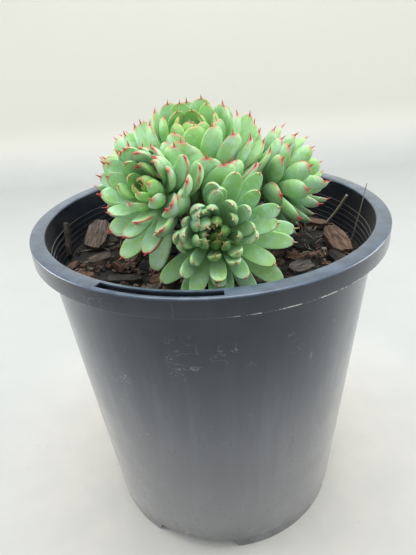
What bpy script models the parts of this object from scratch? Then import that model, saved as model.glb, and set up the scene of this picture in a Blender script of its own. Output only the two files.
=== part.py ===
"""Potted echeveria: a clump of six rosettes on one branched stem, in a plastic nursery pot.

Metres, +Z up. The origin is the centre of the pot's foot, on the surface that it stands on.
The lowest rosette faces the front, -Y.
"""

import math
import random

import bmesh
import bpy
import numpy as np
from mathutils import Matrix, Vector, noise

MM = 0.001
GAP = 0.3 * MM                  # clearance between pieces that touch

# Pot
POT_HEIGHT = 199 * MM
RIM_RADIUS = 100 * MM           # outside of the rolled-out rim
WALL = 1.5 * MM
WALL_FOOT_RADIUS = 78.2 * MM    # outside of the wall, carried down to the floor
WALL_TAPER = 0.0772             # growth of the wall's radius with height
FOOT_RADIUS = 77.6 * MM         # outside of the foot ring, stepped in from the wall
FOOT_RING = 2.0 * MM            # thickness of the foot ring
FOOT_HEIGHT = 9.0 * MM
BASE_UNDERSIDE = 9.6 * MM
BASE_TOP = 11.2 * MM
BASE_HOLE_RADIUS = 9 * MM       # drainage hole in the middle of the base
FLANGE = 1.6 * MM               # thickness of the rim's top
SKIRT = 1.2 * MM                # thickness of the rim's hanging skirt
SKIRT_DEPTH = 9.8 * MM
RIM_FILLET = 0.8 * MM
POT_STEPS = 54                  # facets round the pot
RIM_RIBS = 30                   # radial ribs in the channel under the rim
FIRST_RIB = math.radians(-98)
RIM_RIB = 1.2 * MM
RIM_RIB_DEPTH = 6.5 * MM
RIM_SLOT = (math.radians(-121), math.radians(-87.5))
RIM_SLOT_RADII = (94.2 * MM, 98.1 * MM)
DRAIN_BEARINGS = [math.radians(angle) for angle in (-106, 14, 134)]
DRAIN_HALF_ANGLE = math.radians(21)
DRAIN_END_SLOPE = math.radians(4)
DRAIN_HEIGHT = 9.2 * MM
BASE_SLOT_RADII = (56 * MM, 70 * MM)
BASE_SLOT_HALF_ANGLE = math.radians(13)

# Potting mix
SOIL_TOP = 172 * MM
SOIL_RIPPLE = 1.3 * MM
RIPPLE_SPAN = 22 * MM
SOIL_FALL = 1.5 * MM            # how much lower the surface lies at the wall
SOIL_RINGS = (1.0, 0.82, 0.58, 0.3)   # rings of the surface, as shares of its radius
CRUMBS = 20                     # small chips half buried in the mix's surface
CRUMB_SIZE = (4 * MM, 10 * MM)
CRUMB_WIDTH = (0.5, 0.8)        # over its length
CRUMB_DEPTH = 0.3               # what is buried of it, over its length
CRUMB_RISE = 2.2 * MM           # how far one stands above the surface
CRUMB_NEAR = 0.12               # share of the reach's area, round the stem, that they keep out of
CRUMB_REACH = 84 * MM           # none lies further out
CRUMB_SIDES = 6
CHIP_SINK = 1.0 * MM            # how deep the lower end of a loose chip is bedded
CHIP_SIDES = 8
CHIP_JITTER = 0.3               # how unevenly its corners are spread, over their spacing
CHIP_REACH = (0.86, 1.0)        # how far out its corners are, over half its size
CHIP_SQUARE = 0.6               # under 1 makes its outline squarer than an ellipse
CHIP_TAPER = (0.84, 0.96)       # how much narrower its faces are than its middle

# The larger loose chips: middle in mm, length, width and thickness in mm, bearing of the length and
# rise of its far end in degrees. roll turns one about its length, to stand on its edge.
CHIPS = [
    dict(at=(75, -3), size=(30, 16, 3.6), bearing=102, rise=12, tone=(0.17, 0.10, 0.065)),
    dict(at=(68.5, 32), size=(25, 11, 4.2), bearing=-38, rise=3, tone=(0.13, 0.08, 0.055)),
    dict(at=(49, -29), size=(16, 14, 3.0), bearing=25, rise=3, tone=(0.13, 0.11, 0.10)),
    dict(at=(24, -40), size=(15, 14, 2.8), bearing=100, rise=2, tone=(0.15, 0.115, 0.09)),
    dict(at=(55, 0), size=(15, 12, 2.8), bearing=50, rise=2, tone=(0.035, 0.03, 0.028)),
    dict(at=(-72, 22), size=(27, 18, 4.0), bearing=80, rise=28, tone=(0.12, 0.085, 0.065)),
    dict(at=(-67, -3), size=(17, 12, 3.4), bearing=20, rise=4, tone=(0.10, 0.07, 0.055)),
    dict(at=(-73, -24), size=(17, 12, 3.2), bearing=-35, rise=4, tone=(0.16, 0.085, 0.05)),
    dict(at=(-49, -29), size=(27, 9, 2.8), bearing=-12, rise=2, tone=(0.045, 0.038, 0.035)),
    dict(at=(11, -46), size=(10, 7, 2.6), bearing=15, rise=2, tone=(0.14, 0.11, 0.09)),
    dict(at=(-30, 74), size=(22, 13, 3.4), bearing=20, rise=4, tone=(0.12, 0.08, 0.06)),
    dict(at=(42, 70), size=(18, 12, 3.2), bearing=-30, rise=5, tone=(0.09, 0.06, 0.045)),
    dict(at=(-87.2, 7.4), size=(26, 9, 2.4), bearing=95, rise=66, roll=90, tone=(0.05, 0.035, 0.03)),
]
TWIG = ((78, 38, 168), (86.3, 20, 195.3))       # foot and end of the dry twig, in mm
TWIG_RADII = (0.8 * MM, 0.7 * MM)
STRAW = ((86.8, 7, 168), (90.2, -2, 209.5))   # foot and end of the dry straw
STRAW_RADII = (0.4 * MM, 0.25 * MM)

# Stem
FORK = Vector((4, 6, 176)) * MM            # where the branches part
TRUNK_RADIUS = 6.5 * MM
TRUNK_FOOT = 148 * MM
BRANCH_RADIUS = 4.6 * MM
BRANCH_BEND = 5 * MM            # a branch bends in line with its head this far below it
STEM_SIDES = 8
CORE_FOOT = 0.6                 # radius of a head's stem at its foot, over its greatest
CORE_SWOLLEN = 0.7              # how far down a head's stem begins to narrow, over its length
CORE_TAIL = 4 * MM              # bare stem below a head's lowest leaf
DOME_HEIGHT = 0.5               # height of the stem's domed end, over its radius
DOME_RINGS = ((1.0, 1.0), (0.7, 0.29), (0.2, 0.0))   # radius and depth, over the dome's own

# Leaves
GOLDEN_ANGLE = math.radians(137.508)
LEAF_STATIONS = (0.0, 0.45, 0.84)    # rings along a leaf, as shares of its length
LEAF_SIDES = [math.radians(angle) for angle in (0, 90, 180, 270)]
BUD_SHARE = 0.17                # of a head's leaves, the youngest, folded into the bud at its middle
LEAF_WIDEST = 0.64              # where a leaf is widest, as a share of its length
LEAF_FOOT = 0.40                # width of its foot, over its width
FOOT_FLARE = 1.3                # over 1 keeps the foot narrow for longer
END_ROUNDNESS = 2.3             # of the leaf's outline: 2 is an ellipse, more is blunter
LEAF_THICKEST = 0.5
FOOT_THICKNESS = 0.62           # thickness of its foot, over its thickness
DEPTH_ROUNDNESS = 2.6           # of the leaf's section along its length
LEAF_CROWN = 0.9 * MM           # rise of a full-grown leaf's inner face
LEAF_BELLY = (1.6 * MM, 2.0 * MM)    # bulge of the outer face: the least, and what size adds
LEAF_CUP = 1.0 * MM             # how far its edges turn inward
LEAF_ROOT = 0.08                # how far its root is sunk in the stem, over its length
FOOT_PACKING = 1.5              # stem surface that each leaf takes, over the area of its foot
POINT_LENGTH = 2.0 * MM         # the sharp point at its end
POINT_YOUNG = 0.45              # length of the youngest leaf's point, over the oldest's
POINT_RISE = 0.25               # how far the point turns inward, over its length
TURN_SPREAD = math.radians(5)
LEAN_SPREAD = math.radians(4)
ROLL_SPREAD = math.radians(9)
LENGTH_SPREAD = (0.94, 1.05)
WIDTH_SPREAD = (0.93, 1.07)
LEAN_HURRY = 0.8                # under 1 makes the leaves lean out early

# Room for the leaves
GROUND = SOIL_TOP + 4 * MM      # no leaf reaches lower
HEAD_CLEARANCE = 0.45 * MM      # from a leaf to the plane that parts its head from the next
FORK_CLEARANCE = 13 * MM        # from a leaf to the fork
BEND_TRIES = 18                 # a leaf that isn't clear is bent this often before it is left out
BEND_STEP = math.radians(5)
CURL_STEP = math.radians(1.5)
SHORTEN_FROM = 9                # the try from which it is shortened too
SHORTEN_STEP = 0.93

# The heads of the clump. apex is the growing point in mm and axis points out of the rosette. turn is
# the bearing of the first leaf. length, width, opening and curl go from the innermost leaf to the
# outermost: mm, mm, the lean of the leaf's foot from the axis, and the angle that the leaf curls
# inward through, in degrees. growth is under 1 where the leaves soon reach full length, which makes a
# bowl. core is the radius in mm of the stem inside the head, share is the head's claim on the room
# between it and its neighbours, and disorder multiplies the random spread of its leaves' directions.
HEADS = {
    "rosette_crown": dict(
        apex=(-6, -6, 234), axis=(-0.02, -0.22, 0.97), leaves=64, turn=70, length=(9, 38),
        width=(6, 19), opening=(12, 95), curl=(46, 40), growth=0.36, core=14, share=1.16, disorder=1.2),
    "rosette_right": dict(
        apex=(50, 8, 215), axis=(0.88, 0.08, 0.42), leaves=44, turn=150, length=(9, 29),
        width=(6, 13), opening=(12, 104), curl=(34, 22), growth=0.42, core=8, share=1.02, disorder=1.3),
    "rosette_left": dict(
        apex=(-27, -43.5, 227), axis=(-0.42, -0.70, 0.56), leaves=46, turn=198, length=(5, 36),
        width=(4, 12.5), opening=(8, 106), curl=(40, 22), growth=0.55, core=6, share=1.08, disorder=1.3),
    "rosette_front": dict(
        apex=(3, -52, 205), axis=(0.02, -0.92, 0.39), leaves=58, turn=4, length=(6, 40),
        width=(3.5, 10.5), opening=(6, 102), curl=(60, 36), growth=0.65, core=6.5, share=1.06, disorder=3.0),
    "rosette_back_left": dict(
        apex=(-41, 24, 220), axis=(-0.70, 0.40, 0.60), leaves=28, turn=60, length=(6, 34),
        width=(5, 14.5), opening=(10, 104), curl=(42, 24), growth=0.45, core=6, share=1.02, disorder=1.3),
    "rosette_back_right": dict(
        apex=(12, 48, 214), axis=(0.14, 0.84, 0.53), leaves=28, turn=300, length=(6, 34),
        width=(5, 14.5), opening=(10, 104), curl=(42, 24), growth=0.5, core=6, share=1.02, disorder=1.3),
}


def clear_scene():
    for obj in list(bpy.data.objects):
        bpy.data.objects.remove(obj)


def material(name, colour, roughness):
    made = bpy.data.materials.new(name)
    made.use_nodes = True
    shader = made.node_tree.nodes["Principled BSDF"]
    shader.inputs["Base Color"].default_value = (*colour, 1.0)
    shader.inputs["Roughness"].default_value = roughness
    shader.inputs["Metallic"].default_value = 0.0
    made.diffuse_color = (*colour, 1.0)
    return made


def add_object(name, shape, finish=None):
    """An object of this bmesh, its faces turned outward."""
    bmesh.ops.recalc_face_normals(shape, faces=shape.faces)
    if shape.calc_volume(signed=True) < 0:
        bmesh.ops.reverse_faces(shape, faces=shape.faces)
    mesh = bpy.data.meshes.new(name)
    shape.to_mesh(mesh)
    shape.free()
    obj = bpy.data.objects.new(name, mesh)
    bpy.context.scene.collection.objects.link(obj)
    if finish:
        mesh.materials.append(finish)
    return obj


def apply_modifiers(obj):
    graph = bpy.context.evaluated_depsgraph_get()
    mesh = bpy.data.meshes.new_from_object(obj.evaluated_get(graph))
    obj.modifiers.clear()
    obj.data = mesh


def combine(obj, others, operation):
    """Joins or cuts the object with all the others in one Boolean, and removes them."""
    group = bpy.data.collections.new(obj.name + "_others")
    for other in others:
        group.objects.link(other)
    modifier = obj.modifiers.new(operation, "BOOLEAN")
    modifier.operation = operation
    modifier.operand_type = "COLLECTION"
    modifier.collection = group
    apply_modifiers(obj)
    for other in others:
        bpy.data.objects.remove(other)
    bpy.data.collections.remove(group)


def keep_outer_skin(obj):
    """Keeps the largest closed skin, so that hollows sealed by the union are filled."""
    shape = bmesh.new()
    shape.from_mesh(obj.data)
    left = set(shape.faces)
    skins = []
    while left:
        skin, edge = set(), [left.pop()]
        while edge:
            face = edge.pop()
            skin.add(face)
            for side in face.edges:
                for near in side.link_faces:
                    if near in left:
                        left.remove(near)
                        edge.append(near)
        skins.append(skin)
    skins.sort(key=lambda skin: sum(face.calc_area() for face in skin))
    for skin in skins[:-1]:
        bmesh.ops.delete(shape, geom=list(skin), context="FACES")
    shape.to_mesh(obj.data)
    shape.free()


def smooth(obj, angle=math.radians(40)):
    obj.data.shade_smooth()
    obj.data.set_sharp_from_angle(angle=angle)


def loft(rings):
    """A closed skin over rings of equally many points, with a flat cap at each end."""
    shape = bmesh.new()
    rows = [[shape.verts.new(point) for point in ring] for ring in rings]
    count = len(rows[0])
    for low, high in zip(rows, rows[1:]):
        for i in range(count):
            j = (i + 1) % count
            shape.faces.new((low[i], low[j], high[j], high[i]))
    shape.faces.new(rows[0][::-1])
    shape.faces.new(rows[-1])
    return shape


def turned(name, profile, finish):
    """A ring turned round the Z axis from a closed profile of (radius, height) points."""
    shape = bmesh.new()
    rows = []
    for step in range(POT_STEPS):
        angle = math.tau * step / POT_STEPS
        rows.append([shape.verts.new((r * math.cos(angle), r * math.sin(angle), z)) for r, z in profile])
    for row, following in zip(rows, rows[1:] + rows[:1]):
        for i in range(len(profile)):
            j = (i + 1) % len(profile)
            shape.faces.new((row[i], following[i], following[j], row[j]))
    return add_object(name, shape, finish)


def arc_block(name, radii, heights, bearing, half_angle, end_slope=0.0):
    """A block bent round the Z axis. end_slope makes its top shorter than its foot at each end."""
    steps = max(2, round(2 * half_angle * POT_STEPS / math.tau))
    rings = []
    for step in range(steps + 1):
        share = 2 * step / steps - 1
        ring = []
        for radius, height, half in (
            (radii[0], heights[0], half_angle),
            (radii[1], heights[0], half_angle),
            (radii[1], heights[1], half_angle - end_slope),
            (radii[0], heights[1], half_angle - end_slope),
        ):
            angle = bearing + share * half
            ring.append((radius * math.cos(angle), radius * math.sin(angle), height))
        rings.append(ring)
    return add_object(name, loft(rings))


def wall_radius(height):
    return WALL_FOOT_RADIUS + WALL_TAPER * height


def rim_rib(bearing):
    """A thin upright plate across the channel under the rim, sunk into the wall, rim and skirt."""
    inner = wall_radius(POT_HEIGHT - FLANGE) - WALL / 2
    outer = RIM_RADIUS - SKIRT / 2
    top = POT_HEIGHT - FLANGE / 2
    depth = RIM_RIB_DEPTH + FLANGE / 2
    shape = bmesh.new()
    bmesh.ops.create_cube(shape, size=1.0)
    bmesh.ops.scale(shape, vec=(outer - inner, RIM_RIB, depth), verts=shape.verts)
    bmesh.ops.translate(shape, vec=((outer + inner) / 2, 0, top - depth / 2), verts=shape.verts)
    bmesh.ops.rotate(shape, matrix=Matrix.Rotation(bearing, 3, "Z"), verts=shape.verts)
    return add_object("rim_rib", shape)


def make_pot():
    flange_underside = POT_HEIGHT - FLANGE
    skirt_foot = POT_HEIGHT - SKIRT_DEPTH
    profile = [
        (BASE_HOLE_RADIUS, BASE_UNDERSIDE),
        (FOOT_RADIUS - FOOT_RING, BASE_UNDERSIDE),
        (FOOT_RADIUS - FOOT_RING, 0),
        (FOOT_RADIUS, 0),
        (FOOT_RADIUS, FOOT_HEIGHT),
        (wall_radius(BASE_UNDERSIDE), BASE_UNDERSIDE),
        (wall_radius(flange_underside), flange_underside),
        (RIM_RADIUS - SKIRT, flange_underside),
        (RIM_RADIUS - SKIRT, skirt_foot),
        (RIM_RADIUS, skirt_foot),
        (RIM_RADIUS, POT_HEIGHT - RIM_FILLET),
        (RIM_RADIUS - RIM_FILLET, POT_HEIGHT),
        (wall_radius(POT_HEIGHT) - WALL + RIM_FILLET, POT_HEIGHT),
        (wall_radius(POT_HEIGHT) - WALL, POT_HEIGHT - RIM_FILLET),
        (wall_radius(BASE_TOP) - WALL, BASE_TOP),
        (BASE_HOLE_RADIUS, BASE_TOP),
    ]
    pot = turned("pot", profile, material("charcoal_plastic", (0.030, 0.034, 0.042), 0.42))
    ribs = [rim_rib(FIRST_RIB + math.tau * number / RIM_RIBS) for number in range(RIM_RIBS)]
    combine(pot, ribs, "UNION")
    past = FLANGE
    cutters = [arc_block(
        "rim_slot", RIM_SLOT_RADII, (flange_underside - GAP, POT_HEIGHT + past),
        (RIM_SLOT[0] + RIM_SLOT[1]) / 2, (RIM_SLOT[1] - RIM_SLOT[0]) / 2)]
    for bearing in DRAIN_BEARINGS:
        cutters.append(arc_block(
            "foot_notch", (FOOT_RADIUS - FOOT_RING - past, FOOT_RADIUS + past),
            (-past, DRAIN_HEIGHT), bearing, DRAIN_HALF_ANGLE, DRAIN_END_SLOPE))
        cutters.append(arc_block(
            "base_slot", BASE_SLOT_RADII, (BASE_UNDERSIDE - past, BASE_TOP + past),
            bearing, BASE_SLOT_HALF_ANGLE))
    combine(pot, cutters, "DIFFERENCE")
    smooth(pot)
    return pot


def soil_height(x, y):
    """Height of the mix's surface, uneven and a little lower at the wall."""
    place = Vector((x, y, 0)) / RIPPLE_SPAN
    return SOIL_TOP + SOIL_RIPPLE * noise.noise(place) - SOIL_FALL * (math.hypot(x, y) / RIM_RADIUS) ** 4


def chip_solid(name, size, middle, turn, draw, sides=CHIP_SIDES, grow=0.0, finish=None):
    """A flat, broken-edged chip. grow makes it that much larger all round, to cut its bed."""
    length, width, thickness = size
    outline = []
    for step in range(sides):
        angle = math.tau * (step + 0.5 + draw.uniform(-CHIP_JITTER, CHIP_JITTER)) / sides
        reach = draw.uniform(*CHIP_REACH)
        outline.append([
            math.copysign(abs(value) ** CHIP_SQUARE, value) * reach
            for value in (math.cos(angle), math.sin(angle))
        ])
    rings = []
    for height in (-0.5, 0.5):
        taper = draw.uniform(*CHIP_TAPER)
        rings.append([
            middle + turn @ Vector((x * taper * (length / 2 + grow), y * taper * (width / 2 + grow),
                                    height * (thickness + 2 * grow)))
            for x, y in outline
        ])
    return add_object(name, loft(rings), finish)


def chip_pose(chip):
    """Middle of a loose chip, and the turn from its own axes, where it lies on the mix."""
    x, y = (value * MM for value in chip["at"])
    length, _, thickness = (value * MM for value in chip["size"])
    rise = math.radians(chip["rise"])
    lift = thickness / 2 - CHIP_SINK + length / 2 * math.sin(rise)
    turn = Matrix.Rotation(math.radians(chip["bearing"]), 3, "Z") @ Matrix.Rotation(-rise, 3, "Y")
    turn = turn @ Matrix.Rotation(math.radians(chip.get("roll", 0)), 3, "X")
    return Vector((x, y, soil_height(x, y) + lift)), turn


def make_chips():
    """The loose chips, and for each a slightly larger one that cuts its bed."""
    beds = []
    for number, chip in enumerate(CHIPS, start=1):
        name = f"bark_chip_{number:02d}"
        middle, turn = chip_pose(chip)
        size = [value * MM for value in chip["size"]]
        finish = material(name, chip["tone"], 0.85)
        chip_solid(name, size, middle, turn, random.Random(name), finish=finish)
        beds.append(chip_solid("bed", size, middle, turn, random.Random(name), grow=GAP))
    return beds


def make_crumbs():
    """Small chips for the surface of the mix, clear of the loose ones and of the stem."""
    draw = random.Random("crumbs")
    crumbs = []
    while len(crumbs) < CRUMBS:
        bearing, reach = draw.uniform(0, math.tau), CRUMB_REACH * math.sqrt(draw.uniform(CRUMB_NEAR, 1.0))
        x, y = reach * math.cos(bearing), reach * math.sin(bearing)
        length = draw.uniform(*CRUMB_SIZE)
        size = (length, length * draw.uniform(*CRUMB_WIDTH), length * CRUMB_DEPTH + CRUMB_RISE)
        turn = Matrix.Rotation(draw.uniform(0, math.tau), 3, "Z")
        middle = Vector((x, y, soil_height(x, y) + CRUMB_RISE - size[2] / 2))
        if all(clear_of_chip(middle, length / 2, chip) for chip in CHIPS):
            crumbs.append(chip_solid("crumb", size, middle, turn, draw, CRUMB_SIDES))
    return crumbs


def clear_of_chip(point, reach, chip):
    """True where nothing this near the point meets the chip, seen from above."""
    middle, turn = chip_pose(chip)
    inside = turn.transposed() @ (point - middle)
    length, width, _ = (value * MM for value in chip["size"])
    past = reach + CHIP_SINK
    return abs(inside.x) > length / 2 + past or abs(inside.y) > width / 2 + past


def make_mix(beds):
    """The body of potting mix, a bumpy-topped plug that fills the pot."""
    edge = wall_radius(SOIL_TOP) - WALL - GAP
    angles = [math.tau * step / POT_STEPS for step in range(POT_STEPS)]
    foot = wall_radius(BASE_TOP) - WALL - GAP
    rings = [[(foot * math.cos(a), foot * math.sin(a), BASE_TOP + GAP) for a in angles]]
    for share in SOIL_RINGS:
        places = [(edge * share * math.cos(a), edge * share * math.sin(a)) for a in angles]
        rings.append([(x, y, soil_height(x, y)) for x, y in places])
    shape = loft(rings)
    bmesh.ops.triangulate(shape, faces=shape.faces[:])
    mix = add_object("potting_mix", shape, material("bark_mix", (0.045, 0.028, 0.018), 0.92))
    combine(mix, make_crumbs(), "UNION")
    keep_outer_skin(mix)
    combine(mix, beds, "DIFFERENCE")
    keep_outer_skin(mix)
    smooth(mix)
    return mix


def head_frame(head):
    """The head's axis and two directions square to it."""
    axis = Vector(head["axis"]).normalized()
    across = Vector((0, 0, 1)).cross(axis).normalized()
    return axis, across, axis.cross(across)


def leaf_width(share):
    """Half width along a leaf, as a share of the greatest: a narrow foot, then a rounded spoon."""
    if share <= LEAF_WIDEST:
        rise = math.sin(share / LEAF_WIDEST * math.pi / 2) ** FOOT_FLARE
        return LEAF_FOOT + (1 - LEAF_FOOT) * rise
    return math.sqrt(max(0.0, 1 - ((share - LEAF_WIDEST) / (1 - LEAF_WIDEST)) ** END_ROUNDNESS))


def leaf_depth(share):
    """Thickness along a leaf, as a share of the greatest."""
    if share <= LEAF_THICKEST:
        return FOOT_THICKNESS + (1 - FOOT_THICKNESS) * math.sin(share / LEAF_THICKEST * math.pi / 2)
    return math.sqrt(max(0.0, 1 - ((share - LEAF_THICKEST) / (1 - LEAF_THICKEST)) ** DEPTH_ROUNDNESS))


def leaf_surface(head, leaf, stations, sides):
    """Rings of points up the leaf, from its root, and its sharp point. The leaf curls inward."""
    axis, across, along = head["frame"]
    outward = math.cos(leaf["turn"]) * across + math.sin(leaf["turn"]) * along
    sideways = axis.cross(outward)
    sink = LEAF_ROOT * leaf["length"]
    root = (head["apex"] - (leaf["down"] + sink * math.cos(leaf["lean"])) * axis
            + (leaf["out"] - sink * math.sin(leaf["lean"])) * outward)
    radius = leaf["length"] / leaf["curl"]

    def frame_at(share):
        start, lean = leaf["lean"], leaf["lean"] - leaf["curl"] * share
        middle = root + radius * (
            (math.sin(start) - math.sin(lean)) * axis + (math.cos(lean) - math.cos(start)) * outward)
        upward = math.sin(lean) * axis - math.cos(lean) * outward
        return middle, upward, math.cos(lean) * axis + math.sin(lean) * outward

    rings = []
    for share in stations:
        middle, upward, _ = frame_at(share)
        up = math.cos(leaf["roll"]) * upward + math.sin(leaf["roll"]) * sideways
        side = math.cos(leaf["roll"]) * sideways - math.sin(leaf["roll"]) * upward
        half = leaf["width"] / 2 * leaf_width(share)
        depth = leaf_depth(share)
        ring = []
        for angle in sides:
            c, s = math.cos(angle), math.sin(angle)
            rise = leaf["crown"] * depth * s if s > 0 else leaf["belly"] * depth * s
            rise += leaf["cup"] * leaf_width(share) ** 2 * c * c
            ring.append(middle + half * c * side + rise * up)
        rings.append(ring)
    middle, upward, forward = frame_at(1.0)
    return rings, middle + leaf["point"] * (forward + POINT_RISE * upward)


def parting_planes(name):
    """Normals of the planes through the fork that part this head from the others."""
    own = (HEADS[name]["apex"] - FORK).normalized() * HEADS[name]["share"]
    planes = []
    for other, head in HEADS.items():
        if other != name:
            planes.append(((head["apex"] - FORK).normalized() * head["share"] - own).normalized())
    return planes


def leaf_clears(head, leaf):
    """True where the whole leaf keeps to its head's room, above the ground and off the stem."""
    rings, tip = leaf_surface(head, leaf, LEAF_STATIONS[1:], LEAF_SIDES)
    points = np.array([point for ring in rings for point in ring] + [tip])
    if points[:, 2].min() < GROUND:
        return False
    from_fork = points - np.array(FORK)
    if np.linalg.norm(from_fork, axis=1).min() < FORK_CLEARANCE:
        return False
    return all((from_fork @ np.array(plane)).max() < -HEAD_CLEARANCE for plane in head["planes"])


def grow_leaves(name, head):
    """The head's leaves, youngest first, each turned by the golden angle from the one before.

    A leaf that would cross the next head, the ground or the stem is bent toward its own axis, and
    then shortened, until it is clear.
    """
    draw = random.Random(name)
    small, large = (value * MM for value in head["length"])
    narrow, wide = (value * MM for value in head["width"])
    inner, outer = (math.radians(value) for value in head["opening"])
    curled, straight = (math.radians(value) for value in head["curl"])
    leaves = []
    covered = 0.0
    for index in range(head["leaves"]):
        age = index / (head["leaves"] - 1)
        grown = age ** head["growth"]
        size = (small + (large - small) * grown) / large
        width = narrow + (wide - narrow) * grown
        belly = LEAF_BELLY[0] + LEAF_BELLY[1] * size
        covered += FOOT_PACKING * LEAF_FOOT * width * belly
        out, down = place_on_core(head, covered)
        turn = math.radians(head["turn"]) + index * GOLDEN_ANGLE
        lean = inner + (outer - inner) * age ** LEAN_HURRY
        leaf = dict(
            out=out,
            down=down,
            turn=turn + draw.uniform(-TURN_SPREAD, TURN_SPREAD) * head["disorder"],
            length=size * large * draw.uniform(*LENGTH_SPREAD),
            width=width * draw.uniform(*WIDTH_SPREAD),
            lean=lean + draw.uniform(-LEAN_SPREAD, LEAN_SPREAD) * head["disorder"],
            curl=curled + (straight - curled) * age,
            roll=draw.uniform(-ROLL_SPREAD, ROLL_SPREAD) * head["disorder"],
            crown=LEAF_CROWN * size,
            belly=belly,
            cup=LEAF_CUP * size,
            point=POINT_LENGTH * (POINT_YOUNG + (1 - POINT_YOUNG) * size),
        )
        for attempt in range(BEND_TRIES):
            if leaf_clears(head, leaf):
                leaves.append(leaf)
                break
            leaf["lean"] -= BEND_STEP
            leaf["curl"] += CURL_STEP
            if attempt >= SHORTEN_FROM:
                leaf["length"] *= SHORTEN_STEP
    head["shoot"] = down
    return leaves


def place_on_core(head, covered):
    """Distance from the axis and below the growing point where the feet so far cover this much stem.

    They fill a low dome from its middle out and then go down the stem's side.
    """
    radius = head["core"] * MM
    dome = math.pi * radius ** 2
    if covered < dome:
        out = math.sqrt(covered / math.pi)
        return out, DOME_HEIGHT * radius * (1 - math.sqrt(1 - (out / radius) ** 2))
    return radius, DOME_HEIGHT * radius + (covered - dome) / (math.tau * radius)


def leaf_solid(head, leaf):
    rings, tip = leaf_surface(head, leaf, LEAF_STATIONS, LEAF_SIDES)
    shape = loft(rings)
    end = max((face for face in shape.faces if len(face.verts) == len(LEAF_SIDES)),
              key=lambda face: -(face.calc_center_median() - tip).length)
    poked = bmesh.ops.poke(shape, faces=[end])
    poked["verts"][0].co = tip
    return add_object("leaf", shape)


def core_length(head):
    return head["shoot"] + CORE_TAIL


def core_solid(head, finish, name):
    """The stem inside the head, which the leaves stand out of: a dome, then a bar to its foot."""
    axis, across, along = head["frame"]
    radius = head["core"] * MM
    length = core_length(head)
    stations = [(CORE_FOOT, length), (1.0, length * CORE_SWOLLEN)]
    stations += [(share, DOME_HEIGHT * radius * depth) for share, depth in DOME_RINGS]
    angles = [math.tau * step / STEM_SIDES for step in range(STEM_SIDES)]
    round_stem = [math.cos(angle) * across + math.sin(angle) * along for angle in angles]
    rings = [
        [head["apex"] - down * axis + share * radius * outward for outward in round_stem]
        for share, down in stations
    ]
    return add_object(name, loft(rings), finish)


def make_head(name, head):
    finish = material(name + "_leaf", (0.30, 0.52, 0.30), 0.5)
    core = core_solid(head, finish, name)
    leaves = head["leaf_list"]
    grown = leaves[round(BUD_SHARE * len(leaves)):]
    combine(core, [leaf_solid(head, leaf) for leaf in grown], "UNION")
    keep_outer_skin(core)
    smooth(core)
    return core


def tube(name, points, radii, last_direction=None, finish=None):
    """A round bar along these points, with this radius at each."""
    angles = [math.tau * step / STEM_SIDES for step in range(STEM_SIDES)]
    rings = []
    for i, point in enumerate(points):
        ahead = points[min(i + 1, len(points) - 1)] - points[max(i - 1, 0)]
        if last_direction is not None and i == len(points) - 1:
            ahead = last_direction
        square = ahead.normalized().to_track_quat("Z", "Y").to_matrix()
        rings.append([point + square @ Vector((math.cos(a), math.sin(a), 0)) * radii[i] for a in angles])
    return add_object(name, loft(rings), finish)


def hole_radius(radius):
    """Of the hole that a round bar of this radius stands in, clear of it on the flats too."""
    return radius + GAP / math.cos(math.pi / STEM_SIDES)


def make_stem():
    """The trunk, which stands in the mix, and a branch to the foot of each head."""
    finish = material("stem_bark", (0.20, 0.14, 0.09), 0.85)
    foot = Vector((FORK.x, FORK.y, TRUNK_FOOT))
    top = FORK + Vector((0, 0, TRUNK_RADIUS / 2))
    stem = tube("stem", [foot, top], [TRUNK_RADIUS, TRUNK_RADIUS], finish=finish)
    branches = []
    for head in HEADS.values():
        axis = head["frame"][0]
        end = head["apex"] - (core_length(head) + GAP) * axis
        branches.append(tube("branch", [FORK.copy(), end - axis * BRANCH_BEND, end],
                             [BRANCH_RADIUS, BRANCH_RADIUS, CORE_FOOT * head["core"] * MM], axis))
    combine(stem, branches, "UNION")
    keep_outer_skin(stem)
    smooth(stem)
    below = Vector((0, 0, GAP))
    return tube("stem_hole", [foot - below, top + below], [hole_radius(TRUNK_RADIUS)] * 2)


def make_stalk(name, ends, radii, finish):
    """A thin dry stalk, and the hole that it stands in."""
    foot, end = (Vector(point) * MM for point in ends)
    middle = (foot + end) / 2 + Vector((radii[0], 0, 0))
    widths = [radii[0], (radii[0] + radii[1]) / 2, radii[1]]
    tube(name, [foot, middle, end], widths, finish=finish)
    ahead = (middle - foot).normalized() * GAP
    return tube("stalk_hole", [foot - ahead, middle], [hole_radius(width) for width in widths[:2]])


def main():
    clear_scene()
    for name, head in HEADS.items():
        head["apex"] = Vector(head["apex"]) * MM
        head["frame"] = head_frame(head)
    for name, head in HEADS.items():
        head["planes"] = parting_planes(name)
        head["leaf_list"] = grow_leaves(name, head)
    make_pot()
    for name, head in HEADS.items():
        make_head(name, head)
    dry = material("dry_stalk", (0.42, 0.31, 0.17), 0.8)
    beds = make_chips()
    beds.append(make_stem())
    beds.append(make_stalk("dry_twig", TWIG, TWIG_RADII, dry))
    beds.append(make_stalk("dry_straw", STRAW, STRAW_RADII, dry))
    make_mix(beds)


main()
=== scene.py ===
"""The looks of the potted echeveria: fine leaves, bark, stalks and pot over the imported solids."""

import random
from math import copysign, cos, hypot, pi, radians, sin, sqrt, tau

import bmesh
import bpy
import numpy as np
from mathutils import Matrix, Vector, noise


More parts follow.
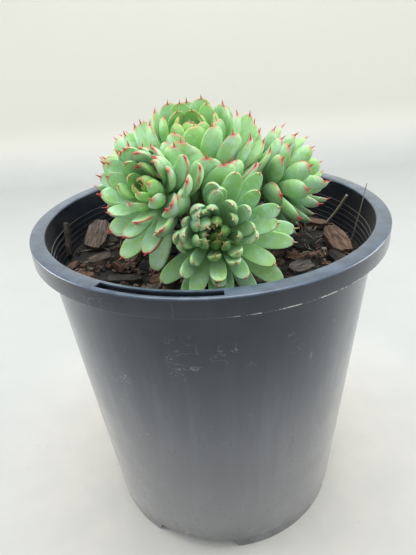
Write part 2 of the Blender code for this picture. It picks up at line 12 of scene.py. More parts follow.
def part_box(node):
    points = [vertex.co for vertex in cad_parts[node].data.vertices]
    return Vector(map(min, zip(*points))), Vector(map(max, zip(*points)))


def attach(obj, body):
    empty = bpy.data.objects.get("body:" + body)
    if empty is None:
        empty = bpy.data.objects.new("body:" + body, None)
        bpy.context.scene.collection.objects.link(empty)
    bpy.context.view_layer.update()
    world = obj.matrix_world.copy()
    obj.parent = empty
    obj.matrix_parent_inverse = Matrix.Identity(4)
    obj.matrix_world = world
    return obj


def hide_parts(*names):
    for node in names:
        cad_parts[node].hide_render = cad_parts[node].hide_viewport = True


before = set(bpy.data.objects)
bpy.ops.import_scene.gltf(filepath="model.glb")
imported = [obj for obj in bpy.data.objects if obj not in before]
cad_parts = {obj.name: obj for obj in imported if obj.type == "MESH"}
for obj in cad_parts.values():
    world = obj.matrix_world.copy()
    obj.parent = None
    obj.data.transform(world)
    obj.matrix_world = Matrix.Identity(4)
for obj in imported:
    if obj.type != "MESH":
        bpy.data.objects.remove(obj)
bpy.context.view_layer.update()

MM = 0.001
GAP = 0.3 * MM  # clearance between pieces that touch

# Pot
POT_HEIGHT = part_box("pot")[1].z
RIM_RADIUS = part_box("pot")[1].x
WALL = 1.5 * MM
WALL_FOOT_RADIUS = 78.2 * MM  # outside of the wall, carried down to the floor
WALL_TAPER = 0.0772  # growth of the wall's radius with height
FOOT_RADIUS = 77.6 * MM
FOOT_RING = 2.0 * MM
FOOT_HEIGHT = 9.0 * MM
BASE_UNDERSIDE = 9.6 * MM
BASE_TOP = 11.2 * MM
BASE_HOLE_RADIUS = 9 * MM
FLANGE = 1.6 * MM  # thickness of the rim's top
SKIRT = 1.2 * MM  # thickness of the rim's hanging skirt
FLANGE_UNDERSIDE = POT_HEIGHT - FLANGE
SKIRT_FOOT = POT_HEIGHT - 9.8 * MM
RIM_FILLET = 0.8 * MM
EDGE_FILLET = 0.4 * MM  # of the skirt's lower edge and the foot
FILLET_STEPS = 4
POT_STEPS = 240  # facets round the pot
POT_CREASE = radians(35)  # edges sharper than this stay sharp in the shading
RIM_RIBS = 30
FIRST_RIB = radians(-98)
RIM_RIB = 1.2 * MM
RIM_RIB_DEPTH = 6.5 * MM
RIM_SLOT = (radians(-121), radians(-87.5))
RIM_SLOT_RADII = (94.2 * MM, 98.1 * MM)
DRAIN_BEARINGS = [radians(angle) for angle in (-106, 14, 134)]
DRAIN_HALF_ANGLE = radians(21)
DRAIN_END_SLOPE = radians(4)
DRAIN_HEIGHT = 9.2 * MM
BASE_SLOT_RADII = (56 * MM, 70 * MM)
BASE_SLOT_HALF_ANGLE = radians(13)
OVERCUT = FLANGE  # how far a cutter reaches past the plastic it cuts
RIDGES = 5  # fine rings round the inside of the wall
FIRST_RIDGE = 12 * MM  # from the rim's top down to the first
RIDGE_SPACING = 3.6 * MM
RIDGE_HEIGHT = 0.35 * MM
RIDGE_WIDTH = 0.6 * MM
RIDGE_PROFILE = ((0.5, 0), (0.2, 1), (-0.2, 1), (-0.5, 0))  # shares of width and of height
PALE_LINE_RIGHT = (-5 * MM, 30 * MM)  # x over which the pale line at the skirt's foot begins
PALE_LINE_FRONT = (-40 * MM, -50 * MM)  # and y

# Potting mix
SOIL_TOP = 172 * MM
SOIL_RIPPLE = 1.3 * MM
RIPPLE_SPAN = 22 * MM
SOIL_FALL = 1.5 * MM
GROUND_STEP = 1.4 * MM  # spacing of the surface's points
GROUND_ROUGHNESS = 1.1 * MM
GROUND_CREASE = radians(60)
ROUGH_SPAN = 5 * MM
ROUGH_SHAPE = (0.8, 2.2, 4)  # fineness, spacing and number of the roughness's layers
ROUGH_SINK = 0.2  # share of the roughness that lies below the smooth surface

# Bark
FLAKES = 820  # bark flakes that make up the surface
FLAKE_SIZE = (5.5 * MM, 19 * MM)
FLAKE_THICKNESS = (0.12, 0.28)  # over its length
CRUMBS = 2600
CRUMB_SIZE = (1.6 * MM, 5 * MM)
CRUMB_THICKNESS = (0.25, 0.6)
SMALL_PREFERENCE = 1.8  # the higher, the more of the flakes are small
DARK_PREFERENCE = 2.0  # the higher, the more of them are dark
FLAKE_WIDTH = (0.35, 0.8)  # over its length
FLAKE_LIFT = (0.0, 0.9)  # of its middle above the ground, over its thickness
FLAKE_TILT = radians(44)
FLAKE_SIDES = 6
FLAKE_RELIEF = 0.03  # depth of its fibres over its length
FLAKE_ROOM = 0.35  # room kept to a loose chip, over its length
FLAKE_CREASE = radians(45)
SCATTER_REACH = 88 * MM
SCATTER_SHARE = (0.05, 1.0)  # of the mix's area, from its middle outward
CHIP_SINK = 1.0 * MM
CHIP_SIDES = 8
CHIP_JITTER = 0.3
CHIP_REACH = (0.86, 1.0)
CHIP_SQUARE = 0.6
CHIP_TAPER = (0.84, 0.96)
CHIP_WAIST = 1.02  # middle of a chip's edge over the mean of its two faces
CHIP_CUTS = 7
CHIP_RINGS = 9
CHIP_RELIEF = 0.35 * MM
CHIP_CREASE = radians(50)
CHIP_SHADES = (0.45, 1.25)  # darkest and lightest of a chip over its tone
CHIP_LIGHTNESS = 0.75
CRACK_SHADE = 0.22  # of the cracks, over the bark's dark colour
STREAK_SHADE = 2.4  # of pale streaks, over its light colour
RAGGED_SPAN = 1.6 * MM  # of the unevenness of a broken edge
RAGGED_STRETCH = 0.3
RAGGED_ENDS = 2.2
RAGGED_SIDES = 0.8
FIBRE_SPAN = 1.1 * MM  # of the fibres on a split face
FIBRE_STRETCH = 0.2
SEED_SPREAD = 9  # reach of the seeded places in the noise

# The larger loose chips, as in the solids: place, size, bearing, rise, roll (mm and degrees) and tone
CHIPS = [dict(zip(("at", "size", "bearing", "rise", "roll", "tone"), row)) for row in (
    ((75, -3), (30, 16, 3.6), 102, 12, 0, (0.17, 0.10, 0.065)),
    ((68.5, 32), (25, 11, 4.2), -38, 3, 0, (0.13, 0.08, 0.055)),
    ((49, -29), (16, 14, 3.0), 25, 3, 0, (0.13, 0.11, 0.10)),
    ((24, -40), (15, 14, 2.8), 100, 2, 0, (0.15, 0.115, 0.09)),
    ((55, 0), (15, 12, 2.8), 50, 2, 0, (0.035, 0.03, 0.028)),
    ((-72, 22), (27, 18, 4.0), 80, 28, 0, (0.12, 0.085, 0.065)),
    ((-67, -3), (17, 12, 3.4), 20, 4, 0, (0.10, 0.07, 0.055)),
    ((-73, -24), (17, 12, 3.2), -35, 4, 0, (0.16, 0.085, 0.05)),
    ((-49, -29), (27, 9, 2.8), -12, 2, 0, (0.045, 0.038, 0.035)),
    ((11, -46), (10, 7, 2.6), 15, 2, 0, (0.14, 0.11, 0.09)),
    ((-30, 74), (22, 13, 3.4), 20, 4, 0, (0.12, 0.08, 0.06)),
    ((42, 70), (18, 12, 3.2), -30, 5, 0, (0.09, 0.06, 0.045)),
    ((-87.2, 7.4), (26, 9, 2.4), 95, 66, 90, (0.05, 0.035, 0.03)),
)]

# Leaves
FORK = Vector((4, 6, 176)) * MM
GOLDEN_ANGLE = radians(137.508)
CLEAR_STATIONS = (0.45, 0.84)  # where a leaf of the solids is tested for room
CLEAR_SIDES = [radians(angle) for angle in (0, 90, 180, 270)]
LEAF_RINGS = 13
LEAF_AROUND = 20
LEAF_END = 0.985  # where the leaf's rounded end meets its point
RINGS_TO_END = 1.5  # the higher, the closer the rings stand near the end
LEAF_WIDEST = 0.64  # share of its length at which the leaf is widest
LEAF_FOOT = 0.40
FOOT_FLARE = 1.3
END_ROUNDNESS = 2.3
LEAF_THICKEST = 0.5
FOOT_THICKNESS = 0.62
DEPTH_ROUNDNESS = 2.6
LEAF_CROWN = 0.9 * MM
LEAF_BELLY = (1.6 * MM, 2.0 * MM)
LEAF_CUP = 1.0 * MM
LEAF_ROOT = 0.08
FOOT_PACKING = 1.5
POINT_LENGTH = 2.0 * MM
POINT_YOUNG = 0.45
POINT_RISE = 0.25
POINT_RADIUS = 0.5 * MM  # of the sharp point at its foot
POINT_STRETCH = 1.35  # length of the sharp point over that of the solid's
POINT_RINGS = ((0.0, 1.0), (0.35, 0.72), (0.7, 0.38))  # shares of its length and radius
TIP_BLUSH = 1.5  # mm of the leaf's end that redden toward the point
TIP_LEAST = 0.3  # red that the points of a head keep when its margins have none
TIP_YOUNG = 0.6  # share of that red on the youngest leaves
MARGIN_FROM = 0.62  # share of the length below which the margin loses its red
MARGIN_LOSS = 6
MARGIN_END = 0.3  # mm by which the blunt end counts as farther from the margin
CORE_MARGIN = 9.0  # so far from any margin that the core has no red
CORE_AGE = 0.4
YOUNG_AGE = (0.15, 0.45)  # between these ages a leaf turns from no red to its full red
TURN_SPREAD = radians(5)
LEAN_SPREAD = radians(4)
ROLL_SPREAD = radians(9)
LENGTH_SPREAD = (0.94, 1.05)
WIDTH_SPREAD = (0.93, 1.07)
LEAN_HURRY = 0.8
GROUND = SOIL_TOP + 4 * MM
HEAD_CLEARANCE = 0.45 * MM
FORK_CLEARANCE = 13 * MM
BEND_TRIES = 18
BEND_STEP = radians(5)
CURL_STEP = radians(1.5)
SHORTEN_FROM = 9
SHORTEN_STEP = 0.93
CORE_FOOT = 0.6
CORE_SWOLLEN = 0.7
CORE_TAIL = 4 * MM
DOME_HEIGHT = 0.5
DOME_RINGS = 6
CORE_SIDES = 24

# The heads of the clump, as in the solids.
HEADS = {
    "rosette_crown": dict(
        apex=(-6, -6, 234), axis=(-0.02, -0.22, 0.97), leaves=64, turn=70,
        length=(9, 38), width=(6, 19), opening=(12, 95), curl=(46, 40), growth=0.36,
        core=14, share=1.16, disorder=1.2, red=1.0, deep=0.0),
    "rosette_right": dict(
        apex=(50, 8, 215), axis=(0.88, 0.08, 0.42), leaves=44, turn=150,
        length=(9, 29), width=(6, 13), opening=(12, 104), curl=(34, 22), growth=0.42,
        core=8, share=1.02, disorder=1.3, red=1.0, deep=0.0),
    "rosette_left": dict(
        apex=(-27, -43.5, 227), axis=(-0.42, -0.70, 0.56), leaves=46, turn=198,
        length=(5, 36), width=(4, 12.5), opening=(8, 106), curl=(40, 22), growth=0.55,
        core=6, share=1.08, disorder=1.3, red=1.0, deep=0.0),
    "rosette_front": dict(
        apex=(3, -52, 205), axis=(0.02, -0.92, 0.39), leaves=58, turn=4,
        length=(6, 40), width=(3.5, 10.5), opening=(6, 102), curl=(60, 36), growth=0.65,
        core=6.5, share=1.06, disorder=3.0, red=0.2, deep=1.0),
    "rosette_back_left": dict(
        apex=(-41, 24, 220), axis=(-0.70, 0.40, 0.60), leaves=28, turn=60,
        length=(6, 34), width=(5, 14.5), opening=(10, 104), curl=(42, 24), growth=0.45,
        core=6, share=1.02, disorder=1.3, red=1.0, deep=0.0),
    "rosette_back_right": dict(
        apex=(12, 48, 214), axis=(0.14, 0.84, 0.53), leaves=28, turn=300,
        length=(6, 34), width=(5, 14.5), opening=(10, 104), curl=(42, 24), growth=0.5,
        core=6, share=1.02, disorder=1.3, red=0.9, deep=0.0),
}

# Dry stalks and fibres: their places, and the fibres' measures, in millimetres
TWIG = ((78, 38, 168), (86.3, 20, 195.3))
TWIG_RADII = (0.8 * MM, 0.7 * MM)
STRAW = ((86.8, 7, 168), (90.2, -2, 209.5))
STRAW_RADII = (0.4 * MM, 0.25 * MM)
STALK_SIDES = 12
STALK_STEPS = 12
STALK_ROUGHNESS = 0.10
FIBRE_PATCHES = ((8, 26, 26), (184, 26, 16), (250, 40, 12))  # bearing, spread to each side, count
FIBRE_REACH = (56, 84)
FIBRE_KNOTS = 5
FIBRE_WANDER = 0.6  # radians between knots, at most
FIBRE_STEP = (1.5, 4.2)
SHORTEST_STEP = 0.2
FIBRE_LIFT = (1.2, 2.2)  # above the ground, and how much more in its middle, at most
FIBRE_RADIUS = (0.12, 0.28)
FIBRE_TAPER = 0.6
FIBRE_SIDES = 6
FIBRE_STEPS = 5
FIBRE_ROUGHNESS = 0.15

# Camera, as fitted to the photo
CAMERA_PLACE = Vector((0, -0.255087, 0.292432))
CAMERA_AHEAD = Vector((-0.010488, 0.879203, -0.476332))
CAMERA_UP = Vector((0.063318, 0.475986, 0.877170))
CAMERA_LENS = 30
CAMERA_SENSOR = 36
CAMERA_CLIP = 0.01

# Stage and light
FLOOR_REACH = 3.0
FLOOR_DROP = 0.02 * MM
WALL_PLACE = 0.86  # where the pale backdrop rises behind the pot
COVE_RADIUS = 0.12
COVE_STEPS = 8
WORLD_BACK = (0.94, 0.98, 1.02)  # the room's light from behind and the sides
WORLD_FRONT = (0.50, 0.55, 0.61)  # and from the front
LIGHTS = [  # name, place, target, width, power, colour
    ("key", (0.0, 0.16, 1.05), (0, 0.02, 0.15), 0.9, 9, (1.0, 0.985, 0.95)),
    ("left", (-1.0, 0.15, 0.40), (0, 0.0, 0.10), 0.7, 6.5, (1.0, 0.99, 0.97)),
    ("right", (1.0, 0.15, 0.40), (0, 0.0, 0.10), 0.7, 6.5, (1.0, 0.99, 0.97)),
    ("front", (0.1, -0.75, 1.15), (0, -0.05, 0.2), 0.8, 3, (0.93, 0.97, 1.0)),
]

# Colours
LEAF_YOUNG = (0.25, 0.54, 0.085)
LEAF_OLD = (0.31, 0.57, 0.175)
LEAF_BRIGHT = (0.37, 0.60, 0.17)
LEAF_BLOOM = (0.51, 0.74, 0.59)
LEAF_SPECKLE = (0.68, 0.85, 0.66)
# the leaf's own yellower foot, darkened too as painted shade where the feet crowd
LEAF_ROOT_GREEN_AND_SHADE = (0.26, 0.46, 0.09)
LEAF_PAINTED_SHADE = (0.07, 0.19, 0.03)  # painted shade on the young leaves in the hollow of the front head
LEAF_MARGIN = (0.52, 0.12, 0.09)
LEAF_POINT = (0.50, 0.055, 0.06)
# lower wall: dust, and a painted reflection of the pale floor
PLASTIC_LOW_DUST_AND_REFLECTION = (0.205, 0.202, 0.203)
PLASTIC_MIDDLE = (0.095, 0.095, 0.106)
# upper wall under the rim: painted shade
PLASTIC_HIGH_PAINTED_SHADE = (0.004, 0.007, 0.014)
PLASTIC_CLOUD = (0.070, 0.072, 0.080)
PLASTIC_STREAK = (0.22, 0.22, 0.235)
PLASTIC_SCUFF = (0.26, 0.26, 0.27)
PLASTIC_SCRATCH = (0.30, 0.31, 0.33)
# the rim's top: a painted bluish sheen, with patches of wear
PLASTIC_RIM_SHEEN_AND_WEAR = (0.090, 0.122, 0.175)
# a pale line along the skirt's foot
PLASTIC_PALE_LINE = (0.62, 0.61, 0.53)
PLASTIC_SPECK = (0.02, 0.02, 0.022)
PLASTIC_DIRT = (0.075, 0.073, 0.068)
# darkest bark; also the ground's painted shade between the flakes
BARK_DARK = (0.008, 0.006, 0.005)
BARK_LIGHT = (0.34, 0.175, 0.115)
BARK_GREY = (0.30, 0.245, 0.21)
STRAW_COLOURS = ((0.46, 0.39, 0.30), (0.30, 0.24, 0.17))
STEM_COLOURS = ((0.22, 0.15, 0.09), (0.12, 0.10, 0.05))
FLOOR_PAINT = ((0.44, 0.452, 0.445), (0.455, 0.467, 0.46))
FLOOR_PAINTED_LIGHT = (0.62, 0.595, 0.535)  # painted light: warmer, lighter paint close round the pot, over its shadow
FLOOR_GRIT = (0.22, 0.18, 0.13)
WALL_PAINT = (0.57, 0.565, 0.505)


def set_inputs(node, inputs):
    """Sets inputs of a node, each to a value or linked from a socket."""
    for key, value in inputs.items():
        if isinstance(value, bpy.types.NodeSocket):
            node.id_data.links.new(value, node.inputs[key])
        else:
            node.inputs[key].default_value = value


def add_node(tree, kind, inputs=None, **settings):
    """A shader node with these settings and inputs."""
    made = tree.nodes.new("ShaderNode" + kind)
    for key, value in settings.items():
        setattr(made, key, value)
    set_inputs(made, inputs or {})
    return made


def mixed(factor, first, second):
    """Colour between two, each a colour or a socket."""
    inputs = {0: factor, 6: rgba(first), 7: rgba(second)}
    return add_node(factor.id_data, "Mix", inputs, data_type="RGBA").outputs[2]


def rgba(colour):
    return colour if isinstance(colour, bpy.types.NodeSocket) else (*colour, 1.0)


def mapped(value, low, high, to_low=0.0, to_high=1.0):
    """Value taken smoothly from one range to another."""
    inputs = {0: value, 1: low, 2: high, 3: to_low, 4: to_high}
    return add_node(value.id_data, "MapRange", inputs, interpolation_type="SMOOTHSTEP").outputs[0]


def times(first, *others):
    for other in others:
        inputs = {0: first, 1: other}
        first = add_node(first.id_data, "Math", inputs, operation="MULTIPLY").outputs[0]
    return first


def layered(colour, *layers):
    """The colour under layers, each given as how much of it shows and its own colour."""
    for amount, over in layers:
        colour = mixed(amount, colour, over)
    return colour


def attribute(tree, name, kind="Fac"):
    return add_node(tree, "Attribute", attribute_name=name).outputs[kind]


def places(tree, stretch=(1, 1, 1), name=None):
    """Coordinates in metres, of the object or of an attribute, stretched."""
    source = attribute(tree, name, "Vector") if name else add_node(tree, "TexCoord").outputs["Object"]
    return add_node(tree, "Mapping", {"Vector": source, "Scale": stretch}).outputs[0]


def noise_at(where, scale, detail=3.0, roughness=0.55):
    inputs = {"Vector": where, "Scale": scale, "Detail": detail, "Roughness": roughness}
    return add_node(where.id_data, "TexNoise", inputs).outputs[0]


def cloudy(where, grain, *ends):
    """Noise of this scale, detail and roughness, taken from one range to another."""
    return mapped(noise_at(where, *grain), *ends)


def specks(where, scale, *ends):
    """Small round spots, by the distance from the nearest of many strewn points."""
    found = add_node(where.id_data, "TexVoronoi", {"Vector": where, "Scale": scale})
    return mapped(found.outputs["Distance"], *ends)


def new_material(name):
    made = bpy.data.materials.new(name)
    made.use_nodes = True
    return made, made.node_tree, made.node_tree.nodes["Principled BSDF"]


def set_bump(shader, height, strength, distance):
    inputs = {"Height": height, "Strength": strength, "Distance": distance}
    set_inputs(shader, {"Normal": add_node(shader.id_data, "Bump", inputs).outputs[0]})


def leaf_material():
    """Waxy leaf: blue-green bloom over green, yellower when young, red at the margin and the point,
    with painted shade in the front head's hollow and at the leaves' feet.
    """
    made, tree, shader = new_material("leaf_skin")
    where = places(tree)
    age = attribute(tree, "age")
    tone = attribute(tree, "tone")
    mottle = noise_at(where, 190, 5.0, 0.62)
    bloom = times(
        mapped(mottle, 0.32, 0.66, 0.10, 0.85),
        mapped(age, 0.05, 0.45, 0.25, 1.0), mapped(tone, 0.0, 1.0, 1.0, 0.62))
    # Painted shade: the young leaves in the hollow of the front head are darkened.
    deep = times(mapped(age, 0.12, 0.34, 0.9, 0.0), attribute(tree, "deep"))
    edge = times(
        mapped(attribute(tree, "margin"), 0.15, 0.85, 1.0, 0.0),
        cloudy(where, (130, 2.0), 0.38, 0.62), attribute(tree, "blush"))
    colour = layered(
        LEAF_YOUNG,
        (mapped(age, 0.05, 0.50), LEAF_OLD),
        (times(tone, 0.7), LEAF_BRIGHT),
        (bloom, LEAF_BLOOM),
        # Toward its foot the leaf turns yellower, and darker as painted shade.
        (mapped(attribute(tree, "along"), 0.0, 0.5, 0.60, 0.0), LEAF_ROOT_GREEN_AND_SHADE),
        (deep, LEAF_PAINTED_SHADE),
        (cloudy(where, (420, 2.0), 0.60, 0.72, 0.0, 0.45), LEAF_SPECKLE),
        (edge, LEAF_MARGIN),
        (attribute(tree, "tip"), LEAF_POINT))
    set_inputs(shader, {
        "Base Color": colour,
        "Roughness": mapped(mottle, 0.2, 0.8, 0.34, 0.54),
        "Subsurface Weight": 0.20,
        "Subsurface Radius": (0.45, 1.0, 0.25),
        "Subsurface Scale": 3 * MM,
        "Sheen Weight": 0.10,
        "Sheen Roughness": 0.5,
        "Specular IOR Level": 0.45,
    })
    set_bump(shader, noise_at(where, 900, 3.0), 0.25, 0.12 * MM)
    return made


def plastic_material():
    """Satin moulded plastic, dark and bluish near the rim as painted shade, and grey low down from dust
    and a painted reflection of the floor, with scuffs.
    """
    made, tree, shader = new_material("pot_plastic")
    where = places(tree)
    x, y, height = add_node(tree, "SeparateXYZ", {0: where}).outputs
    cloud = noise_at(where, 22, 4.0)
    streaks = times(
        cloudy(places(tree, (1, 1, 0.10)), (70, 5.0, 0.6), 0.45, 0.75, 0.0, 0.22),
        mapped(height, 0.12, 0.18, 1.0, 0.2))
    scuffs = cloudy(places(tree, (1, 1, 0.25)), (240, 5.0, 0.7), 0.64, 0.76, 0.0, 0.35)
    curl = noise_at(places(tree, (1, 1, 1.6)), 75, 3.0, 0.6)
    scratches = times(
        mapped(curl, 0.490, 0.500), mapped(curl, 0.500, 0.510, 1.0, 0.0),
        cloudy(where, (26, 2.0), 0.58, 0.68, 0.0, 0.5))
    # The rim's top lighter and bluish: painted sheen, broken into patches of wear.
    rim_sheen_and_wear = times(
        mapped(height, POT_HEIGHT - 1.2 * MM, POT_HEIGHT - 0.2 * MM),
        cloudy(where, (90, 5.0, 0.65), 0.35, 0.7, 0.5, 1.0))
    # A pale line along the skirt's foot, at the front right only.
    pale_line = times(
        mapped(height, SKIRT_FOOT + 0.3 * MM, SKIRT_FOOT + 1.0 * MM, 1.0, 0.0),
        mapped(height, SKIRT_FOOT - 0.2 * MM, SKIRT_FOOT),
        mapped(x, *PALE_LINE_RIGHT), mapped(y, *PALE_LINE_FRONT),
        cloudy(where, (260, 5.0, 0.75), 0.46, 0.56))
    grit = times(
        specks(where, 170.0, 0.06, 0.12, 0.6, 0.0),
        mapped(height, 0.02, 0.11, 1.0, 0.0))
    dirt = times(
        cloudy(where, (120, 4.0, 0.65), 0.35, 0.65, 0.25, 0.8),
        mapped(height, 0.002, 0.028, 1.0, 0.0))
    colour = layered(
        # Grey low down from dust and a painted floor reflection, near black under the rim as painted
        # shade.
        PLASTIC_LOW_DUST_AND_REFLECTION,
        (mapped(height, 0.0, 0.13), PLASTIC_MIDDLE),
        (mapped(height, 0.09, 0.18), PLASTIC_HIGH_PAINTED_SHADE),
        (mapped(cloud, 0.35, 0.7, 0.0, 0.15), PLASTIC_CLOUD),
        (streaks, PLASTIC_STREAK),
        (scuffs, PLASTIC_SCUFF),
        (scratches, PLASTIC_SCRATCH),
        (rim_sheen_and_wear, PLASTIC_RIM_SHEEN_AND_WEAR),
        (pale_line, PLASTIC_PALE_LINE),
        (grit, PLASTIC_SPECK),
        (dirt, PLASTIC_DIRT))
    set_inputs(shader, {
        "Base Color": colour,
        "Roughness": mapped(cloud, 0.3, 0.7, 0.27, 0.38),
        "Specular IOR Level": 0.4,
        "Specular Tint": (0.80, 0.90, 1.0, 1.0),
        "Coat Weight": 0.75,
        "Coat Roughness": 0.16,
        "Sheen Weight": 0.04,
        "Sheen Roughness": 0.35,
    })
    set_bump(shader, noise_at(where, 1400, 3.0), 0.10, 0.05 * MM)
    return made


def shaded(colour, share):
    return tuple(min(1, value * share) for value in colour)


def bark_material(name, dark, light):
    """Fibrous bark between two colours, whose fibres follow each flake's own length."""
    made, tree, shader = new_material(name)
    where = places(tree, (0.16, 1.0, 1.0), "grain")
    fibres = noise_at(where, 900, 5.0, 0.65)
    patches = noise_at(places(tree), 160, 3.0)
    tone = attribute(tree, "tone")
    colour = layered(
        dark,
        (mapped(tone, 0.0, 0.8), light),
        (mapped(tone, 0.78, 0.86), BARK_GREY),
        (mapped(patches, 0.50, 0.66, 0.0, 0.55), dark),
        (mapped(fibres, 0.40, 0.62, 0.85, 0.0), shaded(dark, CRACK_SHADE)),
        (times(cloudy(where, (2600, 3.0, 0.6), 0.58, 0.74, 0.0, 0.6), tone),
         shaded(light, STREAK_SHADE)))
    set_inputs(shader, {
        "Base Color": colour,
        "Roughness": mapped(patches, 0.45, 0.65, 0.80, 0.42),
        "Specular IOR Level": 0.45,
    })
    set_bump(shader, fibres, 1.0, 0.6 * MM)
    return made


def plain_material(name, colours, scale, roughness):
    """Two colours mixed by a noise of this scale, with a bump from it."""
    made, tree, shader = new_material(name)
    pattern = noise_at(places(tree), scale, 4.0)
    colour = mixed(mapped(pattern, 0.3, 0.7), *colours)
    set_inputs(shader, {"Base Color": colour, "Roughness": roughness})
    set_bump(shader, pattern, 0.3, 0.2 * MM)
    return made


def set_finish(mesh, finish):
    mesh.materials.clear()
    mesh.materials.append(finish)


def add_object(name, data):
    made = bpy.data.objects.new(name, data)
    bpy.context.scene.collection.objects.link(made)
    return made


def mesh_object(name, points, faces, finish, attributes=None, crease=None):
    """An object of these points and faces, with these values at its points."""
    mesh = bpy.data.meshes.new(name)
    mesh.from_pydata([tuple(point) for point in points], [], faces)
    for key, values in (attributes or {}).items():
        values = np.asarray(values, np.float32)
        kind = "FLOAT" if values.ndim == 1 else "FLOAT_VECTOR"
        field = "value" if values.ndim == 1 else "vector"
        mesh.attributes.new(key, kind, "POINT").data.foreach_set(field, values.ravel())
    mesh.shade_smooth()
    if crease:
        mesh.set_sharp_from_angle(angle=crease)
    set_finish(mesh, finish)
    return add_object(name, mesh)


def shape_object(name, shape):
    """An object of this bmesh, its faces turned outward."""
    bmesh.ops.recalc_face_normals(shape, faces=shape.faces)
    if shape.calc_volume(signed=True) < 0:
        bmesh.ops.reverse_faces(shape, faces=shape.faces)
    mesh = bpy.data.meshes.new(name)
    shape.to_mesh(mesh)
    shape.free()
    return add_object(name, mesh)


def place_piece(piece, slot, *nodes):
    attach(piece, "root")
    if nodes:
        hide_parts(*nodes)


def combine(obj, others, operation):
    """Joins or cuts the object with all the others in one Boolean, and removes them."""
    group = bpy.data.collections.new(obj.name + "_others")
    for other in others:
        group.objects.link(other)
    modifier = obj.modifiers.new(operation, "BOOLEAN")
    modifier.operation = operation
    modifier.operand_type = "COLLECTION"
    modifier.collection = group
    graph = bpy.context.evaluated_depsgraph_get()
    mesh = bpy.data.meshes.new_from_object(obj.evaluated_get(graph))
    obj.modifiers.clear()
    obj.data = mesh
    for other in others:
        bpy.data.objects.remove(other)
    bpy.data.collections.remove(group)


def polar(reach, angle, height=0.0):
    """The place this far from the Z axis, at this bearing and height."""
    return reach * cos(angle), reach * sin(angle), height


def toward(angle, first, second):
    """The direction turned by this angle from the first toward the second."""
    return cos(angle) * first + sin(angle) * second


def around_circle(count):
    """The angles of this many points evenly round a circle."""
    return [tau * step / count for step in range(count)]


def skin_faces(rows, around, first=0):
    """Faces between rings of this many points each, from this first point on."""
    faces = []
    for low in range(first, first + (rows - 1) * around, around):
        for step in range(around):
            following = (step + 1) % around
            faces.append((low + step, low + following, low + around + following, low + around + step))
    return faces


def capped_faces(rows, around):
    """Faces of a closed skin over rings of this many points each, with a flat cap at each end."""
    ends = [tuple(range(around))[::-1], tuple(range((rows - 1) * around, rows * around))]
    return skin_faces(rows, around) + ends


def fan_faces(first, around, tip):
    """Faces from a ring of points to a tip."""
    return [(first + step, first + (step + 1) % around, tip) for step in range(around)]


def add_part(points, faces, more_points, more_faces):
    """Adds the points and faces of one more part to those of a piece."""
    start = len(points)
    points += more_points
    faces += [tuple(start + index for index in face) for face in more_faces]


def loft(rings):
    """A closed skin over rings of equally many points, with a flat cap at each end."""
    shape = bmesh.new()
    rows = [[shape.verts.new(point) for point in ring] for ring in rings]
    count = len(rows[0])
    for low, high in zip(rows, rows[1:]):
        for i in range(count):
            j = (i + 1) % count
            shape.faces.new((low[i], low[j], high[j], high[i]))
    shape.faces.new(rows[0][::-1])
    shape.faces.new(rows[-1])
    return shape


def turned(name, profile):
    """A ring turned round the Z axis from a closed profile of (radius, height) points."""
    shape = bmesh.new()
    rows = []
    for angle in around_circle(POT_STEPS):
        rows.append([shape.verts.new(polar(radius, angle, height)) for radius, height in profile])
    for row, following in zip(rows, rows[1:] + rows[:1]):
        for i in range(len(profile)):
            j = (i + 1) % len(profile)
            shape.faces.new((row[i], following[i], following[j], row[j]))
    return shape_object(name, shape)


def arc_block(name, radii, heights, bearing, half_angle, end_slope=0.0):
    """A block bent round the Z axis. end_slope makes its top shorter than its foot at each end."""
    steps = max(2, round(2 * half_angle * POT_STEPS / tau))
    rings = []
    for step in range(steps + 1):
        share = 2 * step / steps - 1
        ring = []
        for radius, height, half in (
            (radii[0], heights[0], half_angle),
            (radii[1], heights[0], half_angle),
            (radii[1], heights[1], half_angle - end_slope),
            (radii[0], heights[1], half_angle - end_slope),
        ):
            ring.append(polar(radius, bearing + share * half, height))
        rings.append(ring)
    return shape_object(name, loft(rings))


def wall_radius(height):
    return WALL_FOOT_RADIUS + WALL_TAPER * height


def fillet(corner, entry, leaving, radius):
    """Points of a rounded corner of a profile, entered and left in these unit directions."""
    start = (corner[0] - entry[0] * radius, corner[1] - entry[1] * radius)
    centre = (start[0] + leaving[0] * radius, start[1] + leaving[1] * radius)
    points = []
    for step in range(FILLET_STEPS + 1):
        angle = pi / 2 * step / FILLET_STEPS
        points.append(tuple(
            c - radius * cos(angle) * out + radius * sin(angle) * on
            for c, out, on in zip(centre, leaving, entry)))
    return points


def rim_rib(bearing):
    """A thin upright plate across the channel under the rim, sunk into the wall, rim and skirt."""
    inner = wall_radius(FLANGE_UNDERSIDE) - WALL / 2
    outer = RIM_RADIUS - SKIRT / 2
    top = POT_HEIGHT - FLANGE / 2
    depth = RIM_RIB_DEPTH + FLANGE / 2
    shape = bmesh.new()
    bmesh.ops.create_cube(shape, size=1.0)
    bmesh.ops.scale(shape, vec=(outer - inner, RIM_RIB, depth), verts=shape.verts)
    bmesh.ops.translate(shape, vec=((outer + inner) / 2, 0, top - depth / 2), verts=shape.verts)
    bmesh.ops.rotate(shape, matrix=Matrix.Rotation(bearing, 3, "Z"), verts=shape.verts)
    return shape_object("rim_rib", shape)


def inner_wall_points():
    """The inside of the wall from the rim down, with its fine ridges."""
    points = []
    for ridge in range(RIDGES):
        height = POT_HEIGHT - FIRST_RIDGE - ridge * RIDGE_SPACING
        for rise, inward in RIDGE_PROFILE:
            at = height + rise * RIDGE_WIDTH
            points.append((wall_radius(at) - WALL - inward * RIDGE_HEIGHT, at))
    return points


